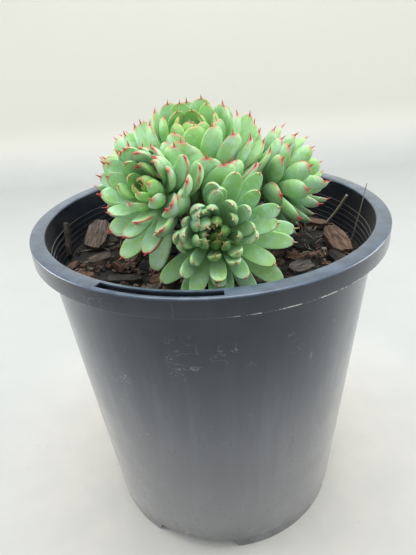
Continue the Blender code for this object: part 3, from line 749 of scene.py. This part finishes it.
def make_pot(finish):
    """The pot, turned from its profile, with ribs under its rim, and its slots and notches cut."""
    profile = [
        (BASE_HOLE_RADIUS, BASE_UNDERSIDE),
        (FOOT_RADIUS - FOOT_RING, BASE_UNDERSIDE),
        (FOOT_RADIUS - FOOT_RING, 0),
        *fillet((FOOT_RADIUS, 0), (1, 0), (0, 1), EDGE_FILLET),
        (FOOT_RADIUS, FOOT_HEIGHT),
        (wall_radius(BASE_UNDERSIDE), BASE_UNDERSIDE),
        (wall_radius(FLANGE_UNDERSIDE), FLANGE_UNDERSIDE),
        (RIM_RADIUS - SKIRT, FLANGE_UNDERSIDE),
        (RIM_RADIUS - SKIRT, SKIRT_FOOT),
        *fillet((RIM_RADIUS, SKIRT_FOOT), (1, 0), (0, 1), EDGE_FILLET),
        *fillet((RIM_RADIUS, POT_HEIGHT), (0, 1), (-1, 0), RIM_FILLET),
        *fillet((wall_radius(POT_HEIGHT) - WALL, POT_HEIGHT), (-1, 0), (0, -1), RIM_FILLET),
        *inner_wall_points(),
        (wall_radius(BASE_TOP) - WALL, BASE_TOP),
        (BASE_HOLE_RADIUS, BASE_TOP),
    ]
    pot = turned("pot_body", profile)
    combine(pot, [rim_rib(FIRST_RIB + angle) for angle in around_circle(RIM_RIBS)], "UNION")
    cutters = [arc_block(
        "rim_slot", RIM_SLOT_RADII, (FLANGE_UNDERSIDE - GAP, POT_HEIGHT + OVERCUT),
        (RIM_SLOT[0] + RIM_SLOT[1]) / 2, (RIM_SLOT[1] - RIM_SLOT[0]) / 2)]
    for bearing in DRAIN_BEARINGS:
        cutters.append(arc_block(
            "foot_notch", (FOOT_RADIUS - FOOT_RING - OVERCUT, FOOT_RADIUS + OVERCUT),
            (-OVERCUT, DRAIN_HEIGHT), bearing, DRAIN_HALF_ANGLE, DRAIN_END_SLOPE))
        cutters.append(arc_block(
            "base_slot", BASE_SLOT_RADII, (BASE_UNDERSIDE - OVERCUT, BASE_TOP + OVERCUT),
            bearing, BASE_SLOT_HALF_ANGLE))
    combine(pot, cutters, "DIFFERENCE")
    set_finish(pot.data, finish)
    pot.data.shade_smooth()
    pot.data.set_sharp_from_angle(angle=POT_CREASE)
    place_piece(pot, "charcoal_plastic", "pot")


def soil_height(x, y):
    """Height of the mix's surface in the solids."""
    place = Vector((x, y, 0)) / RIPPLE_SPAN
    return SOIL_TOP + SOIL_RIPPLE * noise.noise(place) - SOIL_FALL * (hypot(x, y) / RIM_RADIUS) ** 4


def ground_height(x, y):
    """Height of the rough ground between the flakes."""
    place = Vector((x, y, 0)) / ROUGH_SPAN
    return soil_height(x, y) + GROUND_ROUGHNESS * (noise.fractal(place, *ROUGH_SHAPE) - ROUGH_SINK)


def make_ground(finish):
    """The mix's rough surface and its sides down to the base."""
    edge = wall_radius(SOIL_TOP) - WALL - GAP
    count = round(edge / GROUND_STEP)
    around = round(tau * edge / GROUND_STEP / 2)
    angles = around_circle(around)
    points = [(0, 0, ground_height(0, 0))]
    for ring in range(1, count + 1):
        reach = edge * ring / count
        for angle in angles:
            x, y, _ = polar(reach, angle)
            points.append((x, y, ground_height(x, y)))
    foot = wall_radius(BASE_TOP) - WALL - GAP
    points += [polar(foot, angle, BASE_TOP + GAP) for angle in angles]
    faces = [(0, 1 + step, 1 + (step + 1) % around) for step in range(around)]
    for low in range(1, 1 + count * around, around):
        for step in range(around):
            following = (step + 1) % around
            faces.append((low + step, low + around + step, low + around + following, low + following))
    faces.append([1 + count * around + step for step in range(around)][::-1])
    # The ground takes the bark's darkest colour: the fine dark mix, and painted shade in the gaps
    # between the flakes.
    ground = mesh_object(
        "mix_ground", points, faces, finish,
        {"grain": points, "tone": [0.0] * len(points)}, GROUND_CREASE)
    place_piece(ground, "bark_mix", "potting_mix")


def chip_outline(draw, sides):
    """Corners of a rounded block, unevenly spaced, and the shares its two faces are drawn in by."""
    outline = []
    for step in range(sides):
        angle = tau * (step + 0.5 + draw.uniform(-CHIP_JITTER, CHIP_JITTER)) / sides
        reach = draw.uniform(*CHIP_REACH)
        outline.append([
            copysign(abs(value) ** CHIP_SQUARE, value) * reach
            for value in (cos(angle), sin(angle))
        ])
    tapers = [draw.uniform(*CHIP_TAPER) for _ in range(2)]
    return outline, tapers


def chip_mesh(draw, size, middle, turn, sides, cuts, rings, relief):
    """Points, faces and own coordinates of one piece of bark, split along its length.

    cuts is the number of points on each side of its outline, and rings the number across a face.
    """
    outline, tapers = chip_outline(draw, sides)
    length, width, thickness = size
    seed = Vector([draw.uniform(-SEED_SPREAD, SEED_SPREAD) for _ in range(3)])
    border = []
    for step in range(sides):
        here, following = outline[step], outline[(step + 1) % sides]
        for cut in range(cuts):
            share = cut / cuts
            border.append([here[i] + (following[i] - here[i]) * share for i in range(2)])
    count = len(border)
    levels = [(-0.5, tapers[0], share / rings) for share in range(1, rings + 1)]
    levels += [(0.0, CHIP_WAIST * (tapers[0] + tapers[1]) / 2, 1.0)]
    levels += [(0.5, tapers[1], share / rings) for share in range(rings, 0, -1)]
    local = [Vector((0, 0, -thickness / 2))]
    for height, taper, share in levels:
        for x, y in border:
            reach = taper * share / 2
            point = Vector((x * reach * length, y * reach * width, height * thickness))
            rag_at = Vector((point.x * RAGGED_STRETCH, point.y, height * 2 * MM)) / RAGGED_SPAN
            fibre_at = Vector((point.x * FIBRE_STRETCH, point.y, 0)) / FIBRE_SPAN
            ragged = relief * noise.noise(rag_at + seed)
            fibre = relief * noise.noise(fibre_at + seed)
            if share == 1.0:
                point.x += RAGGED_ENDS * ragged
                point.y += RAGGED_SIDES * ragged
            if height:
                point.z += copysign(1.0, height) * fibre
            local.append(point)
    local.append(Vector((0, 0, thickness / 2)))
    faces = [(0, 1 + (j + 1) % count, 1 + j) for j in range(count)]
    faces += skin_faces(len(levels), count, 1)
    faces += fan_faces(1 + (len(levels) - 1) * count, count, len(local) - 1)
    return [middle + turn @ point for point in local], faces, [point + seed * MM for point in local]


def chip_pose(chip):
    """Middle of a loose chip, and the turn from its own axes, where it lies on the mix."""
    x, y = (value * MM for value in chip["at"])
    length, _, thickness = (value * MM for value in chip["size"])
    rise = radians(chip["rise"])
    lift = thickness / 2 - CHIP_SINK + length / 2 * sin(rise)
    turn = Matrix.Rotation(radians(chip["bearing"]), 3, "Z") @ Matrix.Rotation(-rise, 3, "Y")
    turn = turn @ Matrix.Rotation(radians(chip["roll"]), 3, "X")
    return Vector((x, y, soil_height(x, y) + lift)), turn


def make_chips():
    """The larger loose chips, each with its own bark."""
    for number, chip in enumerate(CHIPS, start=1):
        name = f"bark_chip_{number:02d}"
        middle, turn = chip_pose(chip)
        size = [value * MM for value in chip["size"]]
        points, faces, grain = chip_mesh(
            random.Random(name), size, middle, turn, CHIP_SIDES, CHIP_CUTS, CHIP_RINGS, CHIP_RELIEF)
        finish = bark_material(name + "_bark", *(shaded(chip["tone"], share) for share in CHIP_SHADES))
        piece = mesh_object(
            name + "_fine", points, faces, finish,
            {"grain": grain, "tone": [CHIP_LIGHTNESS] * len(points)}, CHIP_CREASE)
        place_piece(piece, name, name)


def clear_of_chip(point, reach, chip):
    """True where nothing this near the point meets the chip, seen from above."""
    middle, turn = chip_pose(chip)
    inside = turn.transposed() @ (point - middle)
    length, width, _ = (value * MM for value in chip["size"])
    return abs(inside.x) > length / 2 + reach or abs(inside.y) > width / 2 + reach


def scatter(name, count, sizes, thickness, cuts, rings, finish):
    """Bark pieces strewn over the mix at all angles, clear of the large chips, in one object."""
    draw = random.Random(name)
    points, faces, grain, tones = [], [], [], []
    made = 0
    while made < count:
        bearing = draw.uniform(0, tau)
        reach = SCATTER_REACH * sqrt(draw.uniform(*SCATTER_SHARE))
        x, y, _ = polar(reach, bearing)
        length = sizes[0] + (sizes[1] - sizes[0]) * draw.random() ** SMALL_PREFERENCE
        size = (length, length * draw.uniform(*FLAKE_WIDTH), length * draw.uniform(*thickness))
        middle = Vector((x, y, ground_height(x, y) + size[2] * draw.uniform(*FLAKE_LIFT)))
        turn = (Matrix.Rotation(draw.uniform(0, tau), 3, "Z")
                @ Matrix.Rotation(draw.uniform(-FLAKE_TILT, FLAKE_TILT), 3, "Y")
                @ Matrix.Rotation(draw.uniform(-FLAKE_TILT, FLAKE_TILT), 3, "X"))
        if reach + length / 2 > SCATTER_REACH:
            continue
        if not all(clear_of_chip(middle, length * FLAKE_ROOM, chip) for chip in CHIPS):
            continue
        flake_points, flake_faces, flake_grain = chip_mesh(
            draw, size, middle, turn, FLAKE_SIDES, cuts, rings, FLAKE_RELIEF * length)
        add_part(points, faces, flake_points, flake_faces)
        grain += flake_grain
        tones += [draw.random() ** DARK_PREFERENCE] * len(flake_points)
        made += 1
    piece = mesh_object(name, points, faces, finish, {"grain": grain, "tone": tones}, FLAKE_CREASE)
    place_piece(piece, "bark_mix")


def head_frame(head):
    """The head's axis and two directions square to it."""
    axis = Vector(head["axis"]).normalized()
    across = Vector((0, 0, 1)).cross(axis).normalized()
    return axis, across, axis.cross(across)


def swollen(share, widest, foot, flare, roundness):
    """A leaf's size at this share of its length, over its greatest size."""
    if share <= widest:
        return foot + (1 - foot) * sin(share / widest * pi / 2) ** flare
    return sqrt(max(0.0, 1 - ((share - widest) / (1 - widest)) ** roundness))


def leaf_width(share):
    return swollen(share, LEAF_WIDEST, LEAF_FOOT, FOOT_FLARE, END_ROUNDNESS)


def leaf_depth(share):
    return swollen(share, LEAF_THICKEST, FOOT_THICKNESS, 1, DEPTH_ROUNDNESS)


def leaf_line(head, leaf, share):
    """Middle of the leaf at this share of its length, and its up, side and forward directions."""
    axis, across, along = head["frame"]
    outward = toward(leaf["turn"], across, along)
    sideways = axis.cross(outward)
    sink = LEAF_ROOT * leaf["length"]
    start = leaf["lean"]
    root = (head["apex"] - (leaf["down"] + sink * cos(start)) * axis
            + (leaf["out"] - sink * sin(start)) * outward)
    radius = leaf["length"] / leaf["curl"]
    lean = start - leaf["curl"] * share
    middle = root + radius * (
        (sin(start) - sin(lean)) * axis + (cos(lean) - cos(start)) * outward)
    upward = sin(lean) * axis - cos(lean) * outward
    return middle, upward, sideways, toward(lean, axis, outward)


def leaf_surface(head, leaf, stations, sides):
    """Rings of points up the leaf, from its root, and its sharp point, as in the solids."""
    rings = []
    for share in stations:
        middle, upward, sideways, _ = leaf_line(head, leaf, share)
        up = toward(leaf["roll"], upward, sideways)
        side = cos(leaf["roll"]) * sideways - sin(leaf["roll"]) * upward
        half = leaf["width"] / 2 * leaf_width(share)
        depth = leaf_depth(share)
        ring = []
        for angle in sides:
            c, s = cos(angle), sin(angle)
            rise = leaf["crown"] * depth * s if s > 0 else leaf["belly"] * depth * s
            rise += leaf["cup"] * leaf_width(share) ** 2 * c * c
            ring.append(middle + half * c * side + rise * up)
        rings.append(ring)
    middle, upward, _, forward = leaf_line(head, leaf, 1.0)
    return rings, middle + leaf["point"] * (forward + POINT_RISE * upward)


def parting_planes(name):
    """Normals of the planes through the fork that part this head from the others."""
    own = (HEADS[name]["apex"] - FORK).normalized() * HEADS[name]["share"]
    planes = []
    for other, head in HEADS.items():
        if other != name:
            planes.append(((head["apex"] - FORK).normalized() * head["share"] - own).normalized())
    return planes


def leaf_clears(head, leaf):
    """True where the whole leaf keeps to its head's room, above the ground and off the stem."""
    rings, tip = leaf_surface(head, leaf, CLEAR_STATIONS, CLEAR_SIDES)
    points = np.array([point for ring in rings for point in ring] + [tip])
    if points[:, 2].min() < GROUND:
        return False
    from_fork = points - np.array(FORK)
    if np.linalg.norm(from_fork, axis=1).min() < FORK_CLEARANCE:
        return False
    return all((from_fork @ np.array(plane)).max() < -HEAD_CLEARANCE for plane in head["planes"])


def place_on_core(head, covered):
    """Distance from the axis and below the growing point where the feet so far cover this much stem."""
    radius = head["core"] * MM
    dome = pi * radius ** 2
    if covered < dome:
        out = sqrt(covered / pi)
        return out, DOME_HEIGHT * radius * (1 - sqrt(1 - (out / radius) ** 2))
    return radius, DOME_HEIGHT * radius + (covered - dome) / (tau * radius)


def grow_leaves(name, head):
    """The head's leaves, youngest first, by the same rule and draws as in the solids."""
    draw = random.Random(name)
    small, large = (value * MM for value in head["length"])
    narrow, wide = (value * MM for value in head["width"])
    inner, outer = (radians(value) for value in head["opening"])
    curled, straight = (radians(value) for value in head["curl"])
    leaves = []
    covered = 0.0
    for index in range(head["leaves"]):
        age = index / (head["leaves"] - 1)
        grown = age ** head["growth"]
        size = (small + (large - small) * grown) / large
        width = narrow + (wide - narrow) * grown
        belly = LEAF_BELLY[0] + LEAF_BELLY[1] * size
        covered += FOOT_PACKING * LEAF_FOOT * width * belly
        out, down = place_on_core(head, covered)
        turn = radians(head["turn"]) + index * GOLDEN_ANGLE
        lean = inner + (outer - inner) * age ** LEAN_HURRY
        leaf = dict(
            out=out,
            down=down,
            turn=turn + draw.uniform(-TURN_SPREAD, TURN_SPREAD) * head["disorder"],
            length=size * large * draw.uniform(*LENGTH_SPREAD),
            width=width * draw.uniform(*WIDTH_SPREAD),
            lean=lean + draw.uniform(-LEAN_SPREAD, LEAN_SPREAD) * head["disorder"],
            curl=curled + (straight - curled) * age,
            roll=draw.uniform(-ROLL_SPREAD, ROLL_SPREAD) * head["disorder"],
            crown=LEAF_CROWN * size,
            belly=belly,
            cup=LEAF_CUP * size,
            point=POINT_LENGTH * (POINT_YOUNG + (1 - POINT_YOUNG) * size),
            age=age,
        )
        for attempt in range(BEND_TRIES):
            if leaf_clears(head, leaf):
                leaves.append(leaf)
                break
            leaf["lean"] -= BEND_STEP
            leaf["curl"] += CURL_STEP
            if attempt >= SHORTEN_FROM:
                leaf["length"] *= SHORTEN_STEP
    head["shoot"] = down
    return leaves


def fine_leaf(head, leaf, draw):
    """Points, faces and shading values of one leaf: its rounded blade and the red point at its end."""
    stations = []
    for step in range(LEAF_RINGS):
        stations.append(LEAF_END * (1 - (1 - step / (LEAF_RINGS - 1)) ** RINGS_TO_END))
    sides = around_circle(LEAF_AROUND)
    rings, tip = leaf_surface(head, leaf, stations, sides)
    tone, blush = draw.random(), draw.random()
    old = min(1.0, max(0.0, (leaf["age"] - YOUNG_AGE[0]) / (YOUNG_AGE[1] - YOUNG_AGE[0])))
    blush *= head["red"] * old
    tip_red = min(1.0, TIP_LEAST + head["red"]) * (TIP_YOUNG + (1 - TIP_YOUNG) * old)
    values = {"along": [], "margin": [], "tip": []}
    for share in stations:
        half = leaf["width"] / 2 * leaf_width(share) / MM
        to_end = (1 - share) * leaf["length"] / MM
        for angle in sides:
            values["along"].append(share)
            to_side = half * (1 - abs(cos(angle))) + MARGIN_LOSS * max(0.0, MARGIN_FROM - share)
            values["margin"].append(min(to_side, to_end + MARGIN_END))
            values["tip"].append(tip_red * max(0.0, 1 - to_end / TIP_BLUSH))
    middle, upward, sideways, _ = leaf_line(head, leaf, LEAF_END)
    base = sum(rings[-1], Vector()) / LEAF_AROUND
    tip = base + POINT_STRETCH * (tip - base)
    for share, width in POINT_RINGS:
        centre, reach = base + (tip - base) * share, POINT_RADIUS * width
        rings.append([centre + reach * toward(angle, sideways, upward) for angle in sides])
    points = [point for ring in rings for point in ring] + [tip]
    for key, value in (("along", 1.0), ("margin", 0.0), ("tip", tip_red)):
        values[key] += [value] * (len(points) - len(values[key]))
    for key, value in (("age", leaf["age"]), ("tone", tone), ("blush", blush), ("deep", head["deep"])):
        values[key] = [value] * len(points)
    faces = [tuple(range(LEAF_AROUND))[::-1]]
    faces += skin_faces(len(rings), LEAF_AROUND)
    faces += fan_faces((len(rings) - 1) * LEAF_AROUND, LEAF_AROUND, len(points) - 1)
    return points, faces, values


def core_mesh(head):
    """The stem inside the head, which the leaves stand out of."""
    axis, across, along = head["frame"]
    radius = head["core"] * MM
    length = head["shoot"] + CORE_TAIL
    stations = [(CORE_FOOT, length), (1.0, length * CORE_SWOLLEN)]
    for step in range(DOME_RINGS):
        angle = pi / 2 * step / DOME_RINGS
        stations.append((cos(angle), DOME_HEIGHT * radius * (1 - sin(angle))))
    points = []
    for share, down in stations:
        centre = head["apex"] - down * axis
        for angle in around_circle(CORE_SIDES):
            points.append(centre + share * radius * toward(angle, across, along))
    return points, capped_faces(len(stations), CORE_SIDES)


def make_head(name, head, finish):
    """All the leaves of one head, on its core, as one piece."""
    draw = random.Random(name + "_skin")
    points, faces = core_mesh(head)
    core = dict(along=0.0, tip=0.0, tone=0.0, blush=0.0, deep=0.0, margin=CORE_MARGIN, age=CORE_AGE)
    values = {key: [value] * len(points) for key, value in core.items()}
    for leaf in head["leaf_list"]:
        leaf_points, leaf_faces, leaf_values = fine_leaf(head, leaf, draw)
        add_part(points, faces, leaf_points, leaf_faces)
        for key in values:
            values[key] += leaf_values[key]
    piece = mesh_object(name + "_fine", points, faces, finish, values)
    place_piece(piece, name + "_leaf", name)


def smooth_line(points, steps):
    """Points of a smooth line through these, a cubic from each to the next."""
    ends = [points[0] * 2 - points[1], *points, points[-1] * 2 - points[-2]]
    line = []
    for a, b, c, d in zip(ends, ends[1:], ends[2:], ends[3:]):
        for step in range(steps):
            t = step / steps
            line.append(0.5 * (2 * b + (c - a) * t + (2 * a - 5 * b + 4 * c - d) * t ** 2
                               + (3 * b - a - 3 * c + d) * t ** 3))
    return line + [points[-1]]


def stalk_mesh(line, radii, sides, roughness, draw):
    """A thin round stalk along a line, tapering from one radius to the other."""
    points = []
    for i, point in enumerate(line):
        ahead = (line[min(i + 1, len(line) - 1)] - line[max(i - 1, 0)]).normalized()
        square = ahead.to_track_quat("Z", "Y").to_matrix()
        radius = radii[0] + (radii[1] - radii[0]) * i / (len(line) - 1)
        for angle in around_circle(sides):
            reach = radius * (1 + draw.uniform(-roughness, roughness))
            points.append(point + square @ Vector(polar(1.0, angle)) * reach)
    return points, capped_faces(len(line), sides)


def make_stalk(name, ends, radii, finish):
    """A dry stalk between two places, slightly bowed."""
    foot, end = (Vector(point) * MM for point in ends)
    middle = (foot + end) / 2 + Vector((radii[0], 0, 0))
    points, faces = stalk_mesh(
        smooth_line([foot, middle, end], STALK_STEPS), radii, STALK_SIDES, STALK_ROUGHNESS,
        random.Random(name))
    piece = mesh_object(name + "_fine", points, faces, finish)
    place_piece(piece, "dry_stalk", name)


def make_fibres(finish):
    """Thin dry fibres and roots that lie over the bark at the left and the right."""
    draw = random.Random("fibres")
    points, faces = [], []
    for bearing, spread, count in FIBRE_PATCHES:
        for _ in range(count):
            angle = radians(bearing + draw.uniform(-spread, spread))
            reach = draw.uniform(*FIBRE_REACH) * MM
            heading = draw.uniform(0, tau)
            place = Vector(polar(reach, angle))
            knots = []
            for step in range(FIBRE_KNOTS):
                arch = sin(step / (FIBRE_KNOTS - 1) * pi)
                lift = (FIBRE_LIFT[0] + FIBRE_LIFT[1] * arch * draw.random()) * MM
                knots.append(Vector((place.x, place.y, ground_height(place.x, place.y) + lift)))
                heading += draw.uniform(-FIBRE_WANDER, FIBRE_WANDER)
                place += Vector(polar(1.0, heading)) * draw.uniform(*FIBRE_STEP) * MM
                if place.length > SCATTER_REACH:
                    place *= SCATTER_REACH / place.length
            if any((b - a).length < SHORTEST_STEP * MM for a, b in zip(knots, knots[1:])):
                continue
            radius = draw.uniform(*FIBRE_RADIUS) * MM
            add_part(points, faces, *stalk_mesh(
                smooth_line(knots, FIBRE_STEPS), (radius, radius * FIBRE_TAPER), FIBRE_SIDES,
                FIBRE_ROUGHNESS, draw))
    piece = mesh_object("fibres", points, faces, finish)
    place_piece(piece, "dry_stalk")


def make_camera():
    """The camera as fitted to the photo."""
    camera = add_object("camera", bpy.data.cameras.new("camera"))
    right = CAMERA_AHEAD.cross(CAMERA_UP).normalized()
    turn = Matrix((right, CAMERA_UP, -CAMERA_AHEAD)).transposed()
    camera.matrix_world = Matrix.Translation(CAMERA_PLACE) @ turn.to_4x4()
    camera.data.lens = CAMERA_LENS
    camera.data.sensor_width = CAMERA_SENSOR
    camera.data.clip_start = CAMERA_CLIP
    bpy.context.scene.camera = camera


def make_stage():
    """A pale floor that curves up into a pale wall, both far wider than the view."""
    floor_finish, tree, shader = new_material("studio_paint")
    where = places(tree)
    height = add_node(tree, "SeparateXYZ", {0: where}).outputs[2]
    away = add_node(tree, "VectorMath", {0: where}, operation="LENGTH").outputs["Value"]
    # Painted light: the floor close round the pot made lighter and warmer, against the pot's shadow.
    painted_light = times(
        cloudy(where, (30, 3.0), 0.2, 0.8, 0.6, 1.0),
        mapped(away, 0.07, 0.24, 1.0, 0.0))
    grit = times(
        specks(where, 150.0, 0.05, 0.11, 1.0, 0.0),
        cloudy(where, (16, 3.0), 0.50, 0.66, 0.0, 0.45))
    paint = layered(
        FLOOR_PAINT[0],
        (cloudy(where, (14,), 0.3, 0.7), FLOOR_PAINT[1]),
        (painted_light, FLOOR_PAINTED_LIGHT),
        (grit, FLOOR_GRIT),
        (mapped(height, 0.0, 0.08), WALL_PAINT))
    set_inputs(shader, {"Base Color": paint, "Roughness": 0.7})
    rings = [(-FLOOR_REACH, 0.0), (WALL_PLACE - COVE_RADIUS, 0.0)]
    for step in range(1, COVE_STEPS + 1):
        angle = pi / 2 * step / COVE_STEPS
        back = WALL_PLACE - COVE_RADIUS + COVE_RADIUS * sin(angle)
        rings.append((back, COVE_RADIUS * (1 - cos(angle))))
    rings.append((WALL_PLACE, FLOOR_REACH))
    points = [(x, y, z - FLOOR_DROP) for y, z in rings for x in (-FLOOR_REACH, FLOOR_REACH)]
    faces = [(2 * i, 2 * i + 1, 2 * i + 3, 2 * i + 2) for i in range(len(rings) - 1)]
    mesh_object("floor", points, faces, floor_finish)


def add_area_light(name, place, target, size, power, colour):
    light = bpy.data.lights.new(name, "AREA")
    light.shape = "DISK"
    light.size = size
    light.energy = power
    light.color = colour
    lamp = add_object(name, light)
    lamp.visible_camera = False
    lamp.location = place
    lamp.rotation_mode = "QUATERNION"
    lamp.rotation_quaternion = (Vector(target) - Vector(place)).to_track_quat("-Z", "Y")


def make_light():
    """The room's own light, softer from the front, and soft lamps above, at the sides and in front."""
    world = bpy.data.worlds.new("studio")
    world.use_nodes = True
    tree = world.node_tree
    direction = add_node(tree, "TexCoord").outputs["Generated"]
    x, y, _ = add_node(tree, "SeparateXYZ", {0: direction}).outputs
    across = add_node(tree, "Math", {0: x}, operation="ABSOLUTE").outputs[0]
    behind = add_node(tree, "Math", {0: across, 1: 0.5, 2: y}, operation="MULTIPLY_ADD").outputs[0]
    sky = mixed(mapped(behind, -0.8, 0.4), WORLD_FRONT, WORLD_BACK)
    set_inputs(tree.nodes["Background"], {"Color": sky})
    bpy.context.scene.world = world
    for light in LIGHTS:
        add_area_light(*light)
    bpy.context.scene.view_settings.view_transform = "Standard"


def main():
    for head in HEADS.values():
        head["apex"] = Vector(head["apex"]) * MM
        head["frame"] = head_frame(head)
    for name, head in HEADS.items():
        head["planes"] = parting_planes(name)
        head["leaf_list"] = grow_leaves(name, head)
    leaf = leaf_material()
    for name, head in HEADS.items():
        make_head(name, head, leaf)
    make_pot(plastic_material())
    bark = bark_material("mix_bark", BARK_DARK, BARK_LIGHT)
    make_ground(bark)
    scatter("mix_flakes", FLAKES, FLAKE_SIZE, FLAKE_THICKNESS, 3, 2, bark)
    scatter("mix_crumbs", CRUMBS, CRUMB_SIZE, CRUMB_THICKNESS, 1, 1, bark)
    make_chips()
    straw = plain_material("dry_straw_skin", STRAW_COLOURS, 700, 0.75)
    make_stalk("dry_twig", TWIG, TWIG_RADII, straw)
    make_stalk("dry_straw", STRAW, STRAW_RADII, straw)
    make_fibres(straw)
    stem = plain_material("stem_skin", STEM_COLOURS, 500, 0.85)
    set_finish(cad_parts["stem"].data, stem)
    make_stage()
    make_light()
    make_camera()


main()
